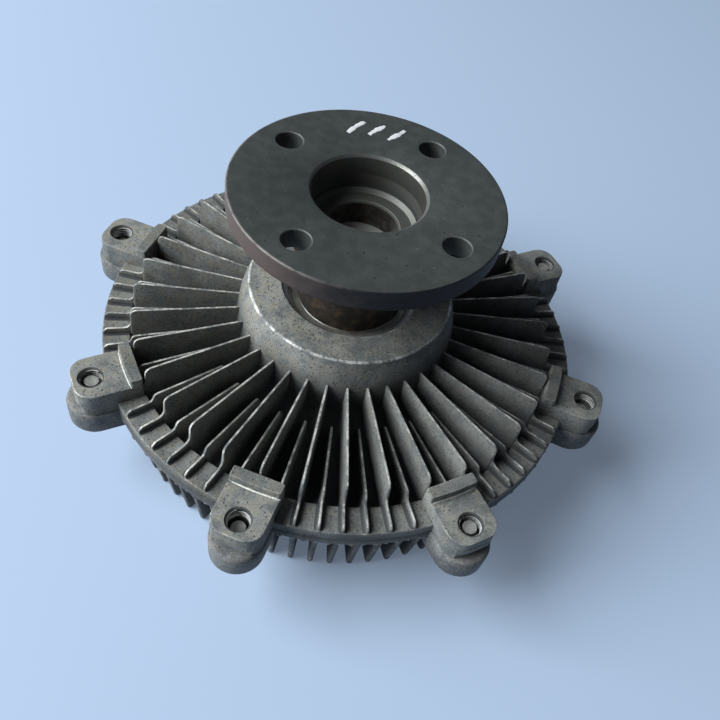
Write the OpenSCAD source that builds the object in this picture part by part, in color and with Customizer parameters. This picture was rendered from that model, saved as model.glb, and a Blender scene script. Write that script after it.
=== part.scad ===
// Viscous fan clutch, standing on the fins of its front cover with the drive flange uppermost.
// Sizes are in millimetres. The spin axis is Z, and the fins stand on z = 0.

/* [Drive hub] */
// Diameter of the drive flange
flange_d = 85; // [78:1:95]
// Thickness of the drive flange
flange_t = 7; // [5:0.5:10]
// Clear height between the collar and the underside of the flange
flange_gap = 32; // [24:1:45]
// Diameter of the pilot bore that centres the flange
pilot_d = 35; // [30:0.5:38]
// Length of the pilot bore's straight wall
pilot_depth = 9.5; // [6:0.5:12]
// Diameter of the blind bore below the pilot
core_d = 22.2; // [16:0.2:26]
// Depth of the blind bore below the flange face
core_depth = 22; // [18:1:30]
// Bolt circle of the flange
bolt_circle_d = 65; // [60:0.5:70]
// Diameter of a flange bolt hole
bolt_hole_d = 8.5; // [6.5:0.1:9.5]
// Number of flange bolt holes
bolt_count = 4; // [3:1:6]
// Turn of the flange bolt holes at rest, in degrees
bolt_turn = -20; // [-45:1:45]
// Diameter of the neck above the bearing
neck_d = 36; // [32:0.5:38]
// Diameter of the boss under the flange
boss_d = 50; // [46:1:54]
// Diameter of the shaft's tail, which carries the rotor
tail_d = 18; // [14:0.5:20]

/* [Bearing] */
// Outside diameter of the ball bearing
bearing_od = 47; // [45:1:52]
// Section height of the ball bearing, from its bore to its outside
bearing_section = 11; // [10:0.5:12]
// Width of the ball bearing
bearing_w = 15; // [13:1:20]
// Diameter of a ball, as a share of the bearing's section height
ball_share = 0.65; // [0.55:0.01:0.7]
// Number of balls
ball_count = 9; // [7:1:11]

/* [Rear housing] */
// Height of the bearing's seat above the joint face with the cover
bearing_rise = 4.8; // [4:0.2:8]
// Height of the collar above the bearing
collar_cover = 4; // [3:0.5:8]
// Diameter of the collar at its top face
collar_top_d = 68.8; // [64:0.2:72]
// Diameter of the collar where it meets the tall fins
collar_base_d = 74; // [72:0.5:80]
// Diameter of the round rim
rim_d = 164.4; // [160:0.2:168]
// Width of the flat ledge inside the rim
ledge_w = 9; // [6:0.5:11]
// Height of the ledge above the joint face
ledge_rise = 3.7; // [2:0.1:4.4]
// Height of the low ribs on the ledge
rib_h = 2.3; // [1.5:0.1:3]
// Number of tall fins, with a low fin between each two
fin_count = 36; // [24:4:40]
// Height of the tall fins above the joint face at the collar
fin_rise_in = 14.3; // [12:0.1:16]
// Height of the tall fins above the joint face at their outer corner
fin_rise_out = 14.1; // [12:0.1:15]
// Radius of a tall fin's outer corner
fin_corner_r = 2.2; // [1:0.2:3]
// Height of the low fins above the joint face
low_fin_rise = 8.8; // [7.6:0.2:10]
// Radius where the low fins begin
low_fin_r = 48.5; // [44:0.5:56]
// Thickness of a fin at its top edge
fin_top_t = 1; // [0.8:0.1:2]
// Thickness of a fin at its root
fin_root_t = 2.4; // [2:0.1:3]
// Height of the floor between the fins above the joint face, at the collar
floor_rise_in = 5.3; // [4:0.1:7]
// Height of the floor between the fins above the joint face, at the rim
floor_rise_out = 0.8; // [0.4:0.1:2]

/* [Lugs] */
// Number of lugs
lug_count = 8; // [6:1:8]
// Bolt circle of the lugs
lug_circle_d = 175; // [172:0.5:182]
// Width of a lug
lug_w = 16.4; // [14:0.2:18]
// Distance from a lug's hole to its outer end
lug_end = 5.8; // [5:0.1:8]
// Corner radius of a lug's outer end
lug_corner_r = 5.5; // [2:0.5:7]
// Height of the fan's seat on a lug above the joint face
pad_rise = 9; // [7:0.5:12]
// Diameter of the turned step that centres the fan
fan_pilot_d = 155; // [153:0.5:160]
// Height of that step above the fan's seat
step_h = 2.8; // [1.5:0.1:4]
// Radial thickness of the raised step
step_t = 4.2; // [3:0.1:5]
// Thickness of a lug's outer end above its undercut
lug_lip_t = 6; // [3:0.5:7]
// Depth of the undercut in a lug's outer end
lug_undercut = 1; // [0.6:0.1:2]
// Diameter of the lug screws
screw_d = 6; // [5:0.5:6]
// Depth from the fan's seat to the end of a cover screw
screw_sink = 4.7; // [3:0.1:5.5]
// The same depth at every second lug, where a longer screw is fitted
long_screw_sink = 1.8; // [1:0.1:3]

/* [Front cover] */
// Thickness of the cover's flange
cover_flange_t = 3.2; // [2.8:0.2:5]
// Outside diameter of the cover's cup
cup_d = 143; // [141.5:0.5:146]
// Thickness of the cover's front wall
cover_wall = 4; // [3:0.5:6]
// Height of the front wall above the feet of the fins
cover_foot = 6.7; // [6.5:0.1:10]
// Thickness of a cover lug
cover_lug_t = 9.2; // [7:0.2:11]
// Radius of a cover lug's round end
cover_lug_r = 8.6; // [8:0.2:9.4]
// Number of cover fins, every second one short
cover_fin_count = 72; // [48:4:80]
// Radius at the foot of the cover fins
cover_fin_tip_r = 75; // [73:0.5:77]
// Radius where the long cover fins begin
long_fin_r = 33; // [32:0.5:40]
// Radius where the short cover fins begin
short_fin_r = 53; // [52:0.5:62]
// Thickness of a cover fin at its foot
cover_fin_tip_t = 1.9; // [1.4:0.1:2.2]
// Thickness of a cover fin under the flange
cover_fin_root_t = 3.4; // [2.4:0.1:3.6]

/* [Rotor and working space] */
// Diameter of the spigot that centres the housing in the cover
spigot_d = 136; // [132:0.5:136.5]
// Depth of that spigot below the joint face
spigot_depth = 5; // [4.5:0.1:7]
// Diameter of the rotor disc
rotor_d = 131; // [126:0.5:132]
// Thickness of the rotor's web
rotor_web_t = 4; // [3:0.5:6]
// Height of the ring-shaped lands
land_h = 5; // [3:0.5:7]
// Thickness of a land
land_t = 1.9; // [1.4:0.1:2.2]
// Radial gap between a rotor land and a housing land
land_gap = 0.6; // [0.5:0.05:0.8]
// Number of lands on the rotor
land_count = 4; // [2:1:4]
// Running gap above and below the rotor
chamber_gap = 1; // [0.6:0.1:2]
// Section diameter of the seal ring round the spigot
seal_section_d = 1.9; // [1.5:0.1:2.2]

/* [Valve and coil] */
// Depth of the fluid store
store_depth = 4; // [3.6:0.1:6]
// Diameter of the separator plate
plate_d = 97; // [90:0.5:104]
// Width of the seat that carries the plate, round the fluid store
plate_seat_w = 5.5; // [5.2:0.1:7]
// Thickness of the separator plate
plate_t = 1.5; // [1.2:0.1:2.5]
// Number of screws in the separator plate
plate_screw_count = 6; // [4:1:8]
// Diameter of those screws
plate_screw_d = 2.5; // [2:0.1:2.6]
// Diameter of the port that the valve arm covers
port_d = 8; // [5:0.5:9]
// Room between the valve arm's pad and the wall of the store
arm_room = 4; // [2:0.5:8]
// Diameter of the valve shaft
valve_shaft_d = 8; // [7:0.2:9]
// Thickness of the valve arm
valve_arm_t = 1.2; // [0.8:0.1:1.6]
// Thickness of the coil's strip
coil_t = 0.9; // [0.6:0.05:1.2]
// Width of the coil's strip
coil_w = 4.1; // [3:0.1:4.3]
// Radius of the coil's innermost turn
coil_in_r = 8; // [7:0.5:10]
// Radius of the coil's outermost turn
coil_out_r = 24; // [20:0.5:25]
// Number of turns of the coil
coil_turns = 4; // [3:1:5]

/* [Clearances] */
// Radial gap of a pressed or centred fit
fit_gap = 0.02; // [0.01:0.01:0.04]
// Radial gap round screws and between centred castings
bolt_gap = 0.1; // [0.05:0.05:0.2]
// Gap between pieces that move past each other
run_gap = 0.3; // [0.2:0.05:0.4]

/* [Hidden] */
$fn = 96;
// Break on turned and cast corners
edge = 0.6;
// Depth by which joined forms run into each other
bury = 0.5;
// Overrun of a cut past the face it leaves
over = 1;

// Heights, from the feet of the cover fins upwards
z_dome = cover_foot;
z_store = z_dome + cover_wall;
z_plate = z_store + store_depth;
z_chamber = z_plate + plate_t;
z_ring = z_chamber - cover_wall;
z_rotor = z_chamber + chamber_gap;
z_web = z_rotor + rotor_web_t;
z_ceiling = z_web + land_h + chamber_gap;
z_joint = z_ceiling + spigot_depth;
z_cover_flange = z_joint - cover_flange_t;
z_cover_lug = z_joint - cover_lug_t;
z_bearing = z_joint + bearing_rise;
z_bearing_top = z_bearing + bearing_w;
z_collar = z_bearing_top + collar_cover;
z_flange = z_collar + flange_gap;
z_top = z_flange + flange_t;
z_ledge = z_joint + ledge_rise;
z_rib = z_ledge + rib_h;
z_fin_in = z_joint + fin_rise_in;
z_fin_out = z_joint + fin_rise_out;
z_low_fin = z_joint + low_fin_rise;
z_floor_in = z_joint + floor_rise_in;
z_floor_out = z_joint + floor_rise_out;
z_pad = z_joint + pad_rise;
z_step = z_pad + step_h;

// Bearing
bearing_bore_r = bearing_od / 2 - bearing_section;
pitch_r = (bearing_bore_r + bearing_od / 2) / 2;
ball_r = ball_share * bearing_section / 2;
groove_r = ball_r + run_gap;
shoulder_share = 0.6;
shoulder_in_r = pitch_r - shoulder_share * ball_r;
shoulder_out_r = pitch_r + shoulder_share * ball_r;
z_ball = z_bearing + bearing_w / 2;
seal_t = 1.1;
seal_sink = 0.6;
seal_seat_w = 0.3 * (bearing_od / 2 - shoulder_out_r);
cage_t = 1.5;
cage_h = 2 * ball_r + 2;

// Drive hub
flange_r = flange_d / 2;
neck_r = neck_d / 2;
boss_r = boss_d / 2;
pilot_r = pilot_d / 2;
core_r = core_d / 2;
core_step_r = (pilot_r + core_r) / 2 + 2;
core_step_taper = 0.75;
z_core = z_top - core_depth / 2 - 2;
journal_r = bearing_bore_r - fit_gap;
tail_r = tail_d / 2 - fit_gap;
peen_h = 2;
neck_h = 8;
boss_h = 3;
hub_fillet = 3;

// Rear housing
rim_r = rim_d / 2;
ledge_r = rim_r - ledge_w;
collar_r = collar_top_d / 2;
collar_base_r = collar_base_d / 2;
seat_r = bearing_od / 2 + fit_gap;
lip_w = 2.7;
lip_t = 3.5;
rolled_w = 0.4;
collar_bevel = 1.5;
housing_wall = 4;
fin_edge_r = ledge_r - 0.5;
fin_foot_r = 2.4;
low_corner_r = 1.4;
low_edge_angle = 25;
low_foot_run = 3.1;
rib_end = 1.7;
rib_bevel = 1.1;
channel_flat = 3;
spigot_r = spigot_d / 2;
groove_w = seal_section_d + 0.4;
groove_depth = seal_section_d + 0.2;

// Lugs
lug_r = lug_circle_d / 2;
fan_pilot_r = fan_pilot_d / 2;
lug_in_r = fan_pilot_r - step_t;
lug_out_r = lug_r + lug_end;
step_relief = 0.8;
step_relief_depth = 0.5;
screw_r = screw_d / 2;
tapped_r = screw_r + bolt_gap / 2;
mouth_r = screw_r + 0.9;
head_flats = 10;
head_h = 4;
washer_t = 1.5;
washer_r = 5.2;
washer_gap = 1.2;

// Front cover
cup_r = cup_d / 2;
bore_r = spigot_r + bolt_gap;
cup_corner = 3;
cup_fillet = 1.5;
plate_r = plate_d / 2;
plate_seat_r = plate_r + bolt_gap;
store_r = plate_r - plate_seat_w;
dome_r = store_r + 1;
dome_slope = 4;
stem_r = valve_shaft_d / 2;
stem_bore_r = stem_r + bolt_gap;
stem_boss_w = 5;
stem_boss_r = stem_r + stem_boss_w;
stem_boss_in = 1.7;
stem_boss_out = 1;
tip_round = 1.3;
nub_h = 1.6;
nub_w = 2;
post_w = 6;
post_t = 5;
post_gap = 0.8;

// Valve and coil
z_stem_out = z_dome - stem_boss_out;
z_stem_in = z_store + stem_boss_in;
clip_t = 0.6;
z_clip = z_stem_out - run_gap - clip_t;
z_coil = z_clip - run_gap - coil_w;
clip_r = stem_r + 2;
clip_groove = 0.8;
tenon_r = stem_r - 1;
z_arm = z_plate - run_gap - bury - valve_arm_t;
arm_hub_r = stem_r + 3;
arm_pad_r = port_d / 2 + 2;
port_r = store_r - arm_pad_r - arm_room;
arm_tail_r = 12;
arm_waist = 0.9;
arm_neck = 0.7;
stem_seal_section_r = 0.68;
stem_groove_r = stem_r - 1.5;
stem_groove_h = 1.5;
plate_screw_r = plate_screw_d / 2;
plate_screw_ring = (store_r + plate_r) / 2;
plate_screw_len = 4;
plate_screw_flare = 0.6 * plate_t;
plate_bore_r = 5;
return_hole_r = 1.5;

// Lands share one pitch, so that each rotor land runs between two housing lands
land_pitch = 2 * (land_t + land_gap);
land_out_r = rotor_d / 2 - land_t - land_gap;

// Points on an arc about a centre, from one angle to another
function arc(centre, r, from, to, steps = 4) = [
    for (i = [0 : steps])
        let (a = from + (to - from) * i / steps)
            [centre[0] + r * cos(a), centre[1] + r * sin(a)]
];

// A plain turned ring between two radii
module ring(r_in, r_out, z, h) {
    rotate_extrude() translate([r_in, z]) square([r_out - r_in, h]);
}

// One copy of the children at each lug, or at some of them
module at_lugs(first = 0, every = 1) {
    for (i = [first : every : lug_count - 1])
        rotate(i * 360 / lug_count) children();
}

// A row of straight radial fins with drafted sides, thinner at one height than at another
module fin_row(count, turn, r_in, r_out, z_thick, t_thick, z_thin, t_thin) {
    for (i = [0 : count - 1])
        rotate(turn + i * 360 / count)
            translate([r_in, 0, 0])
                rotate([90, 0, 90])
                    linear_extrude(r_out - r_in)
                        polygon([
                            [-t_thick / 2, z_thick], [t_thick / 2, z_thick],
                            [t_thin / 2, z_thin], [-t_thin / 2, z_thin]
                        ]);
}

// Flange, boss, neck, bearing journal and peened tail, turned from one forging
module drive_hub() {
    color([0.24, 0.25, 0.24])
    difference() {
        rotate_extrude() polygon(concat(
            [
                [0, z_rotor],
                [tail_r + peen_h - bolt_gap, z_rotor],
                [tail_r, z_rotor + peen_h],
                [tail_r, z_bearing + run_gap],
                [journal_r, z_bearing + run_gap],
                [journal_r, z_bearing_top],
                [neck_r, z_bearing_top],
                [neck_r, z_collar + neck_h],
                [boss_r, z_flange - boss_h]
            ],
            arc([boss_r + hub_fillet, z_flange - hub_fillet], hub_fillet, 180, 90),
            [
                [flange_r - edge, z_flange], [flange_r, z_flange + edge],
                [flange_r, z_top - edge], [flange_r - edge, z_top],
                [pilot_r + edge, z_top], [pilot_r, z_top - edge],
                [pilot_r, z_top - edge - pilot_depth],
                [core_step_r, z_top - edge - pilot_depth - (pilot_r - core_step_r)],
                [core_step_r - core_step_taper, z_core],
                [core_r + edge, z_core], [core_r, z_core - edge],
                [core_r, z_top - core_depth],
                [0, z_top - core_depth - core_r / 4]
            ]
        ));
        for (i = [0 : bolt_count - 1])
            rotate(bolt_turn + i * 360 / bolt_count)
                translate([bolt_circle_d / 2, 0, 0])
                    rotate_extrude() polygon([
                        [0, z_flange - over], [bolt_hole_d / 2, z_flange - over],
                        [bolt_hole_d / 2, z_top - edge], [bolt_hole_d / 2 + edge, z_top],
                        [bolt_hole_d / 2 + edge, z_top + over], [0, z_top + over]
                    ]);
    }
}

// Disc with upright lands, a boss that bears on the inner race and a countersunk bore
module rotor_disc() {
    rotor_boss_r = shoulder_in_r - edge;
    bore = tail_d / 2;
    color([0.62, 0.63, 0.64])
    rotate_extrude() {
        polygon([
            [bore + peen_h, z_rotor], [rotor_d / 2, z_rotor],
            [rotor_d / 2, z_web], [rotor_boss_r + peen_h, z_web],
            [rotor_boss_r, z_web + peen_h], [rotor_boss_r, z_bearing],
            [bore, z_bearing], [bore, z_rotor + peen_h]
        ]);
        for (i = [0 : land_count - 1])
            translate([land_out_r - i * land_pitch - land_t, z_web - bury])
                square([land_t, land_h + bury]);
    }
}

module bearing_inner_race() {
    color([0.66, 0.67, 0.68])
    rotate_extrude() difference() {
        translate([bearing_bore_r, z_bearing])
            square([shoulder_in_r - bearing_bore_r, bearing_w]);
        translate([pitch_r, z_ball]) circle(r = groove_r);
    }
}

module bearing_outer_race() {
    color([0.30, 0.29, 0.28])
    rotate_extrude() difference() {
        translate([shoulder_out_r, z_bearing])
            square([bearing_od / 2 - shoulder_out_r, bearing_w]);
        translate([pitch_r, z_ball]) circle(r = groove_r);
        // Seats of the two seals
        for (z = [z_bearing - over, z_bearing_top - seal_sink - seal_t])
            translate([shoulder_out_r - over, z])
                square([seal_seat_w + over, seal_t + seal_sink + over]);
    }
}

module bearing_balls() {
    color([0.75, 0.76, 0.77])
    for (i = [0 : ball_count - 1])
        rotate(i * 360 / ball_count)
            translate([pitch_r, 0, z_ball]) sphere(r = ball_r);
}

module bearing_cage() {
    color([0.70, 0.55, 0.30])
    difference() {
        ring(pitch_r - cage_t / 2, pitch_r + cage_t / 2, z_ball - cage_h / 2, cage_h);
        for (i = [0 : ball_count - 1])
            rotate(i * 360 / ball_count)
                translate([pitch_r, 0, z_ball]) sphere(r = groove_r);
    }
}

// Flat seal ring with a folded lip, which stands clear of the inner race
module bearing_seal(z, lip_z) {
    seal_in_r = shoulder_in_r + run_gap;
    ring(seal_in_r, shoulder_out_r + seal_seat_w - fit_gap, z, seal_t);
    ring(seal_in_r, seal_in_r + seal_t, lip_z, seal_t + bury);
}

module bearing_rear_seal() {
    z = z_bearing_top - seal_sink - seal_t;
    color([0.45, 0.44, 0.42]) bearing_seal(z, z - bury);
}

module bearing_front_seal() {
    z = z_bearing + seal_sink;
    color([0.12, 0.12, 0.12]) bearing_seal(z, z);
}

// Turned section of the housing: collar, floor, ledge, rim, spigot and land grooves
module housing_section() {
    lip_r = bearing_od / 2 - lip_w;
    rolled_r = seat_r - rolled_w;
    core_in_r = collar_base_r - housing_wall;
    difference() {
        polygon([
            [lip_r, z_bearing - lip_t], [lip_r, z_bearing], [seat_r, z_bearing],
            [seat_r, z_bearing_top + run_gap], [rolled_r, z_bearing_top + run_gap],
            [rolled_r, z_collar - edge], [rolled_r + edge, z_collar],
            [collar_r - edge, z_collar], [collar_r, z_collar - edge],
            [collar_base_r, z_fin_in + over],
            [collar_base_r + collar_bevel, z_floor_in],
            [ledge_r - channel_flat, z_floor_out], [ledge_r, z_floor_out],
            [ledge_r, z_ledge], [rim_r - edge, z_ledge], [rim_r, z_ledge - edge],
            [rim_r, z_joint], [spigot_r, z_joint],
            [spigot_r, z_ceiling + edge], [spigot_r - edge, z_ceiling],
            [core_in_r + housing_wall, z_ceiling], [core_in_r, z_bearing - lip_t]
        ]);
        // Groove of the seal ring
        translate([spigot_r - groove_depth, z_joint - spigot_depth / 2 - groove_w / 2])
            square([groove_depth + over, groove_w]);
    }
    // Lands that hang between the rotor's lands
    for (i = [0 : land_count])
        translate([land_out_r + land_gap - i * land_pitch, z_ceiling - land_h])
            square([land_t, land_h + bury]);
}

// Outline of the tall fins, which sweep down into the rib that runs on over the ledge
function tall_fin_outline() = concat(
    [
        [collar_base_r - bury - over, z_joint + floor_rise_out / 2],
        [collar_base_r - bury - over, z_fin_in]
    ],
    arc([fin_edge_r - fin_corner_r, z_fin_out - fin_corner_r], fin_corner_r, 90, 0),
    arc([fin_edge_r + fin_foot_r, z_rib + fin_foot_r], fin_foot_r, 180, 270),
    rib_end_outline()
);

// Outline of the low fins, which slope down to the floor at their inner end
function low_fin_outline() = concat(
    [
        [low_fin_r - low_fin_rise / 2, z_joint + floor_rise_out / 2],
        [low_fin_r, z_low_fin]
    ],
    arc([fin_edge_r - low_corner_r, z_low_fin - low_corner_r], low_corner_r, 90, low_edge_angle),
    arc([fin_edge_r - low_corner_r + low_foot_run, z_rib + low_corner_r], low_corner_r,
        180 + low_edge_angle, 270),
    rib_end_outline()
);

// Bevelled outer end of a rib on the ledge
function rib_end_outline() = [
    [rim_r - rib_end, z_rib], [rim_r - edge / 2, z_rib - rib_bevel],
    [rim_r - edge / 2, z_joint + floor_rise_out / 2]
];

// Lug with rounded outer corners, an undercut end and a raised turned step with a relief at its foot
module housing_lug() {
    difference() {
        union() {
            translate([0, 0, z_joint]) linear_extrude(pad_rise) {
                translate([lug_in_r, -lug_w / 2])
                    square([lug_out_r - lug_corner_r - lug_in_r, lug_w]);
                translate([lug_in_r, lug_corner_r - lug_w / 2])
                    square([lug_out_r - lug_in_r, lug_w - 2 * lug_corner_r]);
                for (side = [-1, 1])
                    translate([lug_out_r - lug_corner_r, side * (lug_w / 2 - lug_corner_r)])
                        circle(r = lug_corner_r);
            }
            intersection() {
                translate([lug_in_r, -lug_w / 2, z_joint])
                    cube([step_t + over, lug_w, z_step - z_joint]);
                cylinder(r = fan_pilot_r, h = z_step);
            }
        }
        ring(fan_pilot_r, fan_pilot_r + step_relief, z_pad - step_relief_depth, step_h);
        ring(lug_out_r - lug_undercut, lug_out_r + over,
            z_joint - over, pad_rise - lug_lip_t + over);
    }
}

module rear_housing() {
    color([0.50, 0.51, 0.50])
    difference() {
        union() {
            rotate_extrude() housing_section();
            intersection() {
                fin_row(fin_count, 0, collar_base_r - 2 * over, rim_r,
                    z_joint, fin_root_t, z_fin_in, fin_top_t);
                rotate_extrude() polygon(tall_fin_outline());
            }
            intersection() {
                fin_row(fin_count, 180 / fin_count, low_fin_r - low_fin_rise, rim_r,
                    z_joint, fin_root_t, z_low_fin, fin_top_t);
                rotate_extrude() polygon(low_fin_outline());
            }
            at_lugs() housing_lug();
        }
        at_lugs() translate([lug_r, 0, 0]) rotate_extrude() polygon([
            [0, z_joint - over], [tapped_r, z_joint - over],
            [tapped_r, z_pad - mouth_r + tapped_r], [mouth_r, z_pad],
            [mouth_r, z_pad + over], [0, z_pad + over]
        ]);
    }
}

// Turned section of the cover: flange, cup, front wall, stem boss and plate seat
module cover_section() {
    polygon([
        [bore_r, z_joint], [rim_r, z_joint],
        [rim_r, z_cover_flange + edge], [rim_r - edge, z_cover_flange],
        [cup_r + cup_fillet, z_cover_flange], [cup_r, z_cover_flange - cup_fillet],
        [cup_r, z_ring + cup_corner], [cup_r - cup_corner, z_ring],
        [dome_r + dome_slope, z_ring], [dome_r, z_dome],
        [stem_boss_r, z_dome], [stem_boss_r, z_stem_out], [stem_bore_r, z_stem_out],
        [stem_bore_r, z_stem_in], [stem_boss_r, z_stem_in], [stem_boss_r, z_store],
        [store_r, z_store], [store_r, z_plate], [plate_seat_r, z_plate],
        [plate_seat_r, z_chamber], [bore_r, z_chamber]
    ]);
}

// Outer edge of the cover fins, from the nub under the rim to the rounded foot
function cover_fin_edge() = concat(
    arc([cover_fin_tip_r - tip_round, tip_round], tip_round, 270, 360),
    [
        [rim_r - edge - nub_w, z_cover_flange - nub_h],
        [rim_r - edge, z_cover_flange - nub_h],
        [rim_r - edge, z_cover_flange + bury],
        [cup_r - bury, z_cover_flange + bury],
        [cup_r - bury, z_ring + cup_corner],
        [cup_r - cup_corner, z_ring + bury]
    ]
);

// Outline of the long cover fins, which run in over the dome
function long_fin_outline() = concat(
    cover_fin_edge(),
    [
        [dome_r + dome_slope, z_ring + bury], [dome_r, z_dome + bury],
        [long_fin_r, z_dome + bury], [long_fin_r + cover_foot / 2, 0]
    ]
);

// Outline of the short cover fins, which stop outside the dome
function short_fin_outline() = concat(
    cover_fin_edge(),
    [[short_fin_r, z_ring + bury], [short_fin_r + z_ring / 2, 0]]
);

// Boss with a round end under each housing lug
module cover_lug() {
    translate([0, 0, z_cover_lug]) linear_extrude(cover_lug_t) {
        translate([lug_r, 0]) circle(r = cover_lug_r);
        translate([cup_r - bury, -cover_lug_r])
            square([lug_r - cup_r + bury, 2 * cover_lug_r]);
    }
}

// Slotted post that holds the outer end of the coil
module coil_post() {
    slot = coil_t + 2 * run_gap;
    difference() {
        translate([coil_out_r + coil_t / 2 + post_gap, -post_w / 2, z_coil])
            cube([post_t, post_w, z_dome + bury - z_coil]);
        translate([coil_out_r, -slot / 2, z_coil - over])
            cube([post_t + post_gap + coil_t, slot, coil_w + run_gap + over]);
    }
}

module front_cover() {
    long_count = cover_fin_count / 2;
    color([0.40, 0.41, 0.43])
    difference() {
        union() {
            rotate_extrude() cover_section();
            intersection() {
                fin_row(long_count, 0, long_fin_r, rim_r,
                    z_joint, cover_fin_root_t, 0, cover_fin_tip_t);
                rotate_extrude() polygon(long_fin_outline());
            }
            intersection() {
                fin_row(long_count, 180 / long_count, short_fin_r, rim_r,
                    z_joint, cover_fin_root_t, 0, cover_fin_tip_t);
                rotate_extrude() polygon(short_fin_outline());
            }
            at_lugs() cover_lug();
            coil_post();
        }
        at_lugs() translate([lug_r, 0, z_cover_lug - over])
            cylinder(r = screw_r + 3 * bolt_gap, h = cover_lug_t + 2 * over);
        at_plate_screws() translate([plate_screw_ring, 0, z_plate - plate_screw_len - bury])
            cylinder(r = plate_screw_r + bolt_gap / 2, h = plate_screw_len + bury + over);
    }
}

module cover_seal_ring() {
    color([0.08, 0.08, 0.08])
    rotate_extrude()
        translate([spigot_r - groove_depth / 2, z_joint - spigot_depth / 2])
            circle(d = seal_section_d);
}

// Hexagon head screw that comes up from the front into a lug of the housing
module cover_screw(sink) {
    z_seat = z_cover_lug - washer_t;
    translate([lug_r, 0, z_seat - head_h])
        cylinder(d = head_flats / cos(30), h = head_h, $fn = 6);
    translate([lug_r, 0, z_seat - bury])
        cylinder(r = screw_r, h = z_pad - sink - z_seat + bury);
}

// The screws of all lugs, every second one longer
module cover_screws() {
    color([0.42, 0.42, 0.40]) {
        at_lugs(0, 2) cover_screw(screw_sink);
        at_lugs(1, 2) cover_screw(long_screw_sink);
    }
}

// Split spring washers under the screw heads
module cover_screw_washers() {
    color([0.35, 0.35, 0.34])
    at_lugs() translate([lug_r, 0, z_cover_lug - washer_t]) difference() {
        cylinder(r = washer_r, h = washer_t);
        translate([0, 0, -over])
            cylinder(r = screw_r + 2 * bolt_gap, h = washer_t + 2 * over);
        translate([0, -washer_gap / 2, -over])
            cube([washer_r + over, washer_gap, washer_t + 2 * over]);
    }
}

// One copy of the children in the direction of each plate screw, clear of the port
module at_plate_screws() {
    for (i = [0 : plate_screw_count - 1])
        rotate((i + 0.5) * 360 / plate_screw_count) children();
}

// Flat plate with the valve's port, a return hole and countersunk screw holes
module separator_plate() {
    color([0.60, 0.61, 0.60])
    difference() {
        translate([0, 0, z_plate]) cylinder(r = plate_r, h = plate_t);
        translate([port_r, 0, z_plate - over]) cylinder(d = port_d, h = plate_t + 2 * over);
        translate([-store_r + 2 * return_hole_r, 0, z_plate - over])
            cylinder(r = return_hole_r, h = plate_t + 2 * over);
        translate([0, 0, z_plate - over]) cylinder(r = plate_bore_r, h = plate_t + 2 * over);
        at_plate_screws() translate([plate_screw_ring, 0, 0]) rotate_extrude() polygon([
            [0, z_plate - over], [plate_screw_r + bolt_gap / 2, z_plate - over],
            [plate_screw_r + bolt_gap / 2, z_plate + bolt_gap],
            [plate_screw_r + plate_screw_flare, z_chamber + bolt_gap / 2],
            [0, z_chamber + bolt_gap / 2]
        ]);
    }
}

// Countersunk screws, whose heads lie flush with the plate
module separator_screws() {
    color([0.45, 0.45, 0.44])
    at_plate_screws() translate([plate_screw_ring, 0, 0]) rotate_extrude() polygon([
        [0, z_plate - plate_screw_len], [plate_screw_r, z_plate - plate_screw_len],
        [plate_screw_r, z_plate + bolt_gap],
        [plate_screw_r + plate_screw_flare - 2 * bolt_gap, z_chamber - bolt_gap],
        [0, z_chamber - bolt_gap]
    ]);
}

// Flat stamped arm with a round pad over the port and a short tail for balance
module valve_arm() {
    color([0.68, 0.66, 0.60])
    translate([0, 0, z_arm]) linear_extrude(valve_arm_t) difference() {
        union() {
            circle(r = arm_hub_r);
            translate([port_r, 0]) circle(r = arm_pad_r);
            polygon([
                [-arm_tail_r, -stem_r], [0, -arm_hub_r * arm_waist], [port_r, -arm_pad_r * arm_neck],
                [port_r, arm_pad_r * arm_neck], [0, arm_hub_r * arm_waist], [-arm_tail_r, stem_r]
            ]);
        }
        circle(r = tenon_r + fit_gap);
    }
}

// Turned shaft with a slot for the coil, grooves for clip and seal, and a tenon for the arm
module valve_shaft() {
    z_seal = (z_stem_out + z_stem_in) / 2;
    slot = coil_t + 2 * run_gap;
    color([0.70, 0.70, 0.70])
    difference() {
        rotate_extrude() difference() {
            union() {
                translate([0, z_coil]) square([stem_r, z_arm - z_coil]);
                translate([0, z_arm - bury]) square([tenon_r, valve_arm_t + bury + fit_gap]);
            }
            translate([stem_groove_r, z_seal - stem_groove_h / 2])
                square([stem_r, stem_groove_h]);
            translate([stem_r - clip_groove, z_clip - bolt_gap])
                square([stem_r, clip_t + 2 * bolt_gap]);
        }
        translate([-stem_r - over, -slot / 2, z_coil - over])
            cube([2 * (stem_r + over), slot, coil_w + run_gap + over]);
    }
}

module valve_shaft_seal() {
    color([0.10, 0.10, 0.10])
    rotate_extrude()
        translate([(stem_groove_r + stem_bore_r) / 2, (z_stem_out + z_stem_in) / 2])
            circle(r = stem_seal_section_r);
}

// Open clip that snaps into the shaft's groove under the cover
module valve_shaft_clip() {
    inner = stem_r - clip_groove + bolt_gap / 2;
    color([0.30, 0.30, 0.30])
    translate([0, 0, z_clip]) linear_extrude(clip_t) difference() {
        circle(r = clip_r);
        circle(r = inner);
        translate([0, -inner]) square([clip_r + over, 2 * inner]);
    }
}

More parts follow.
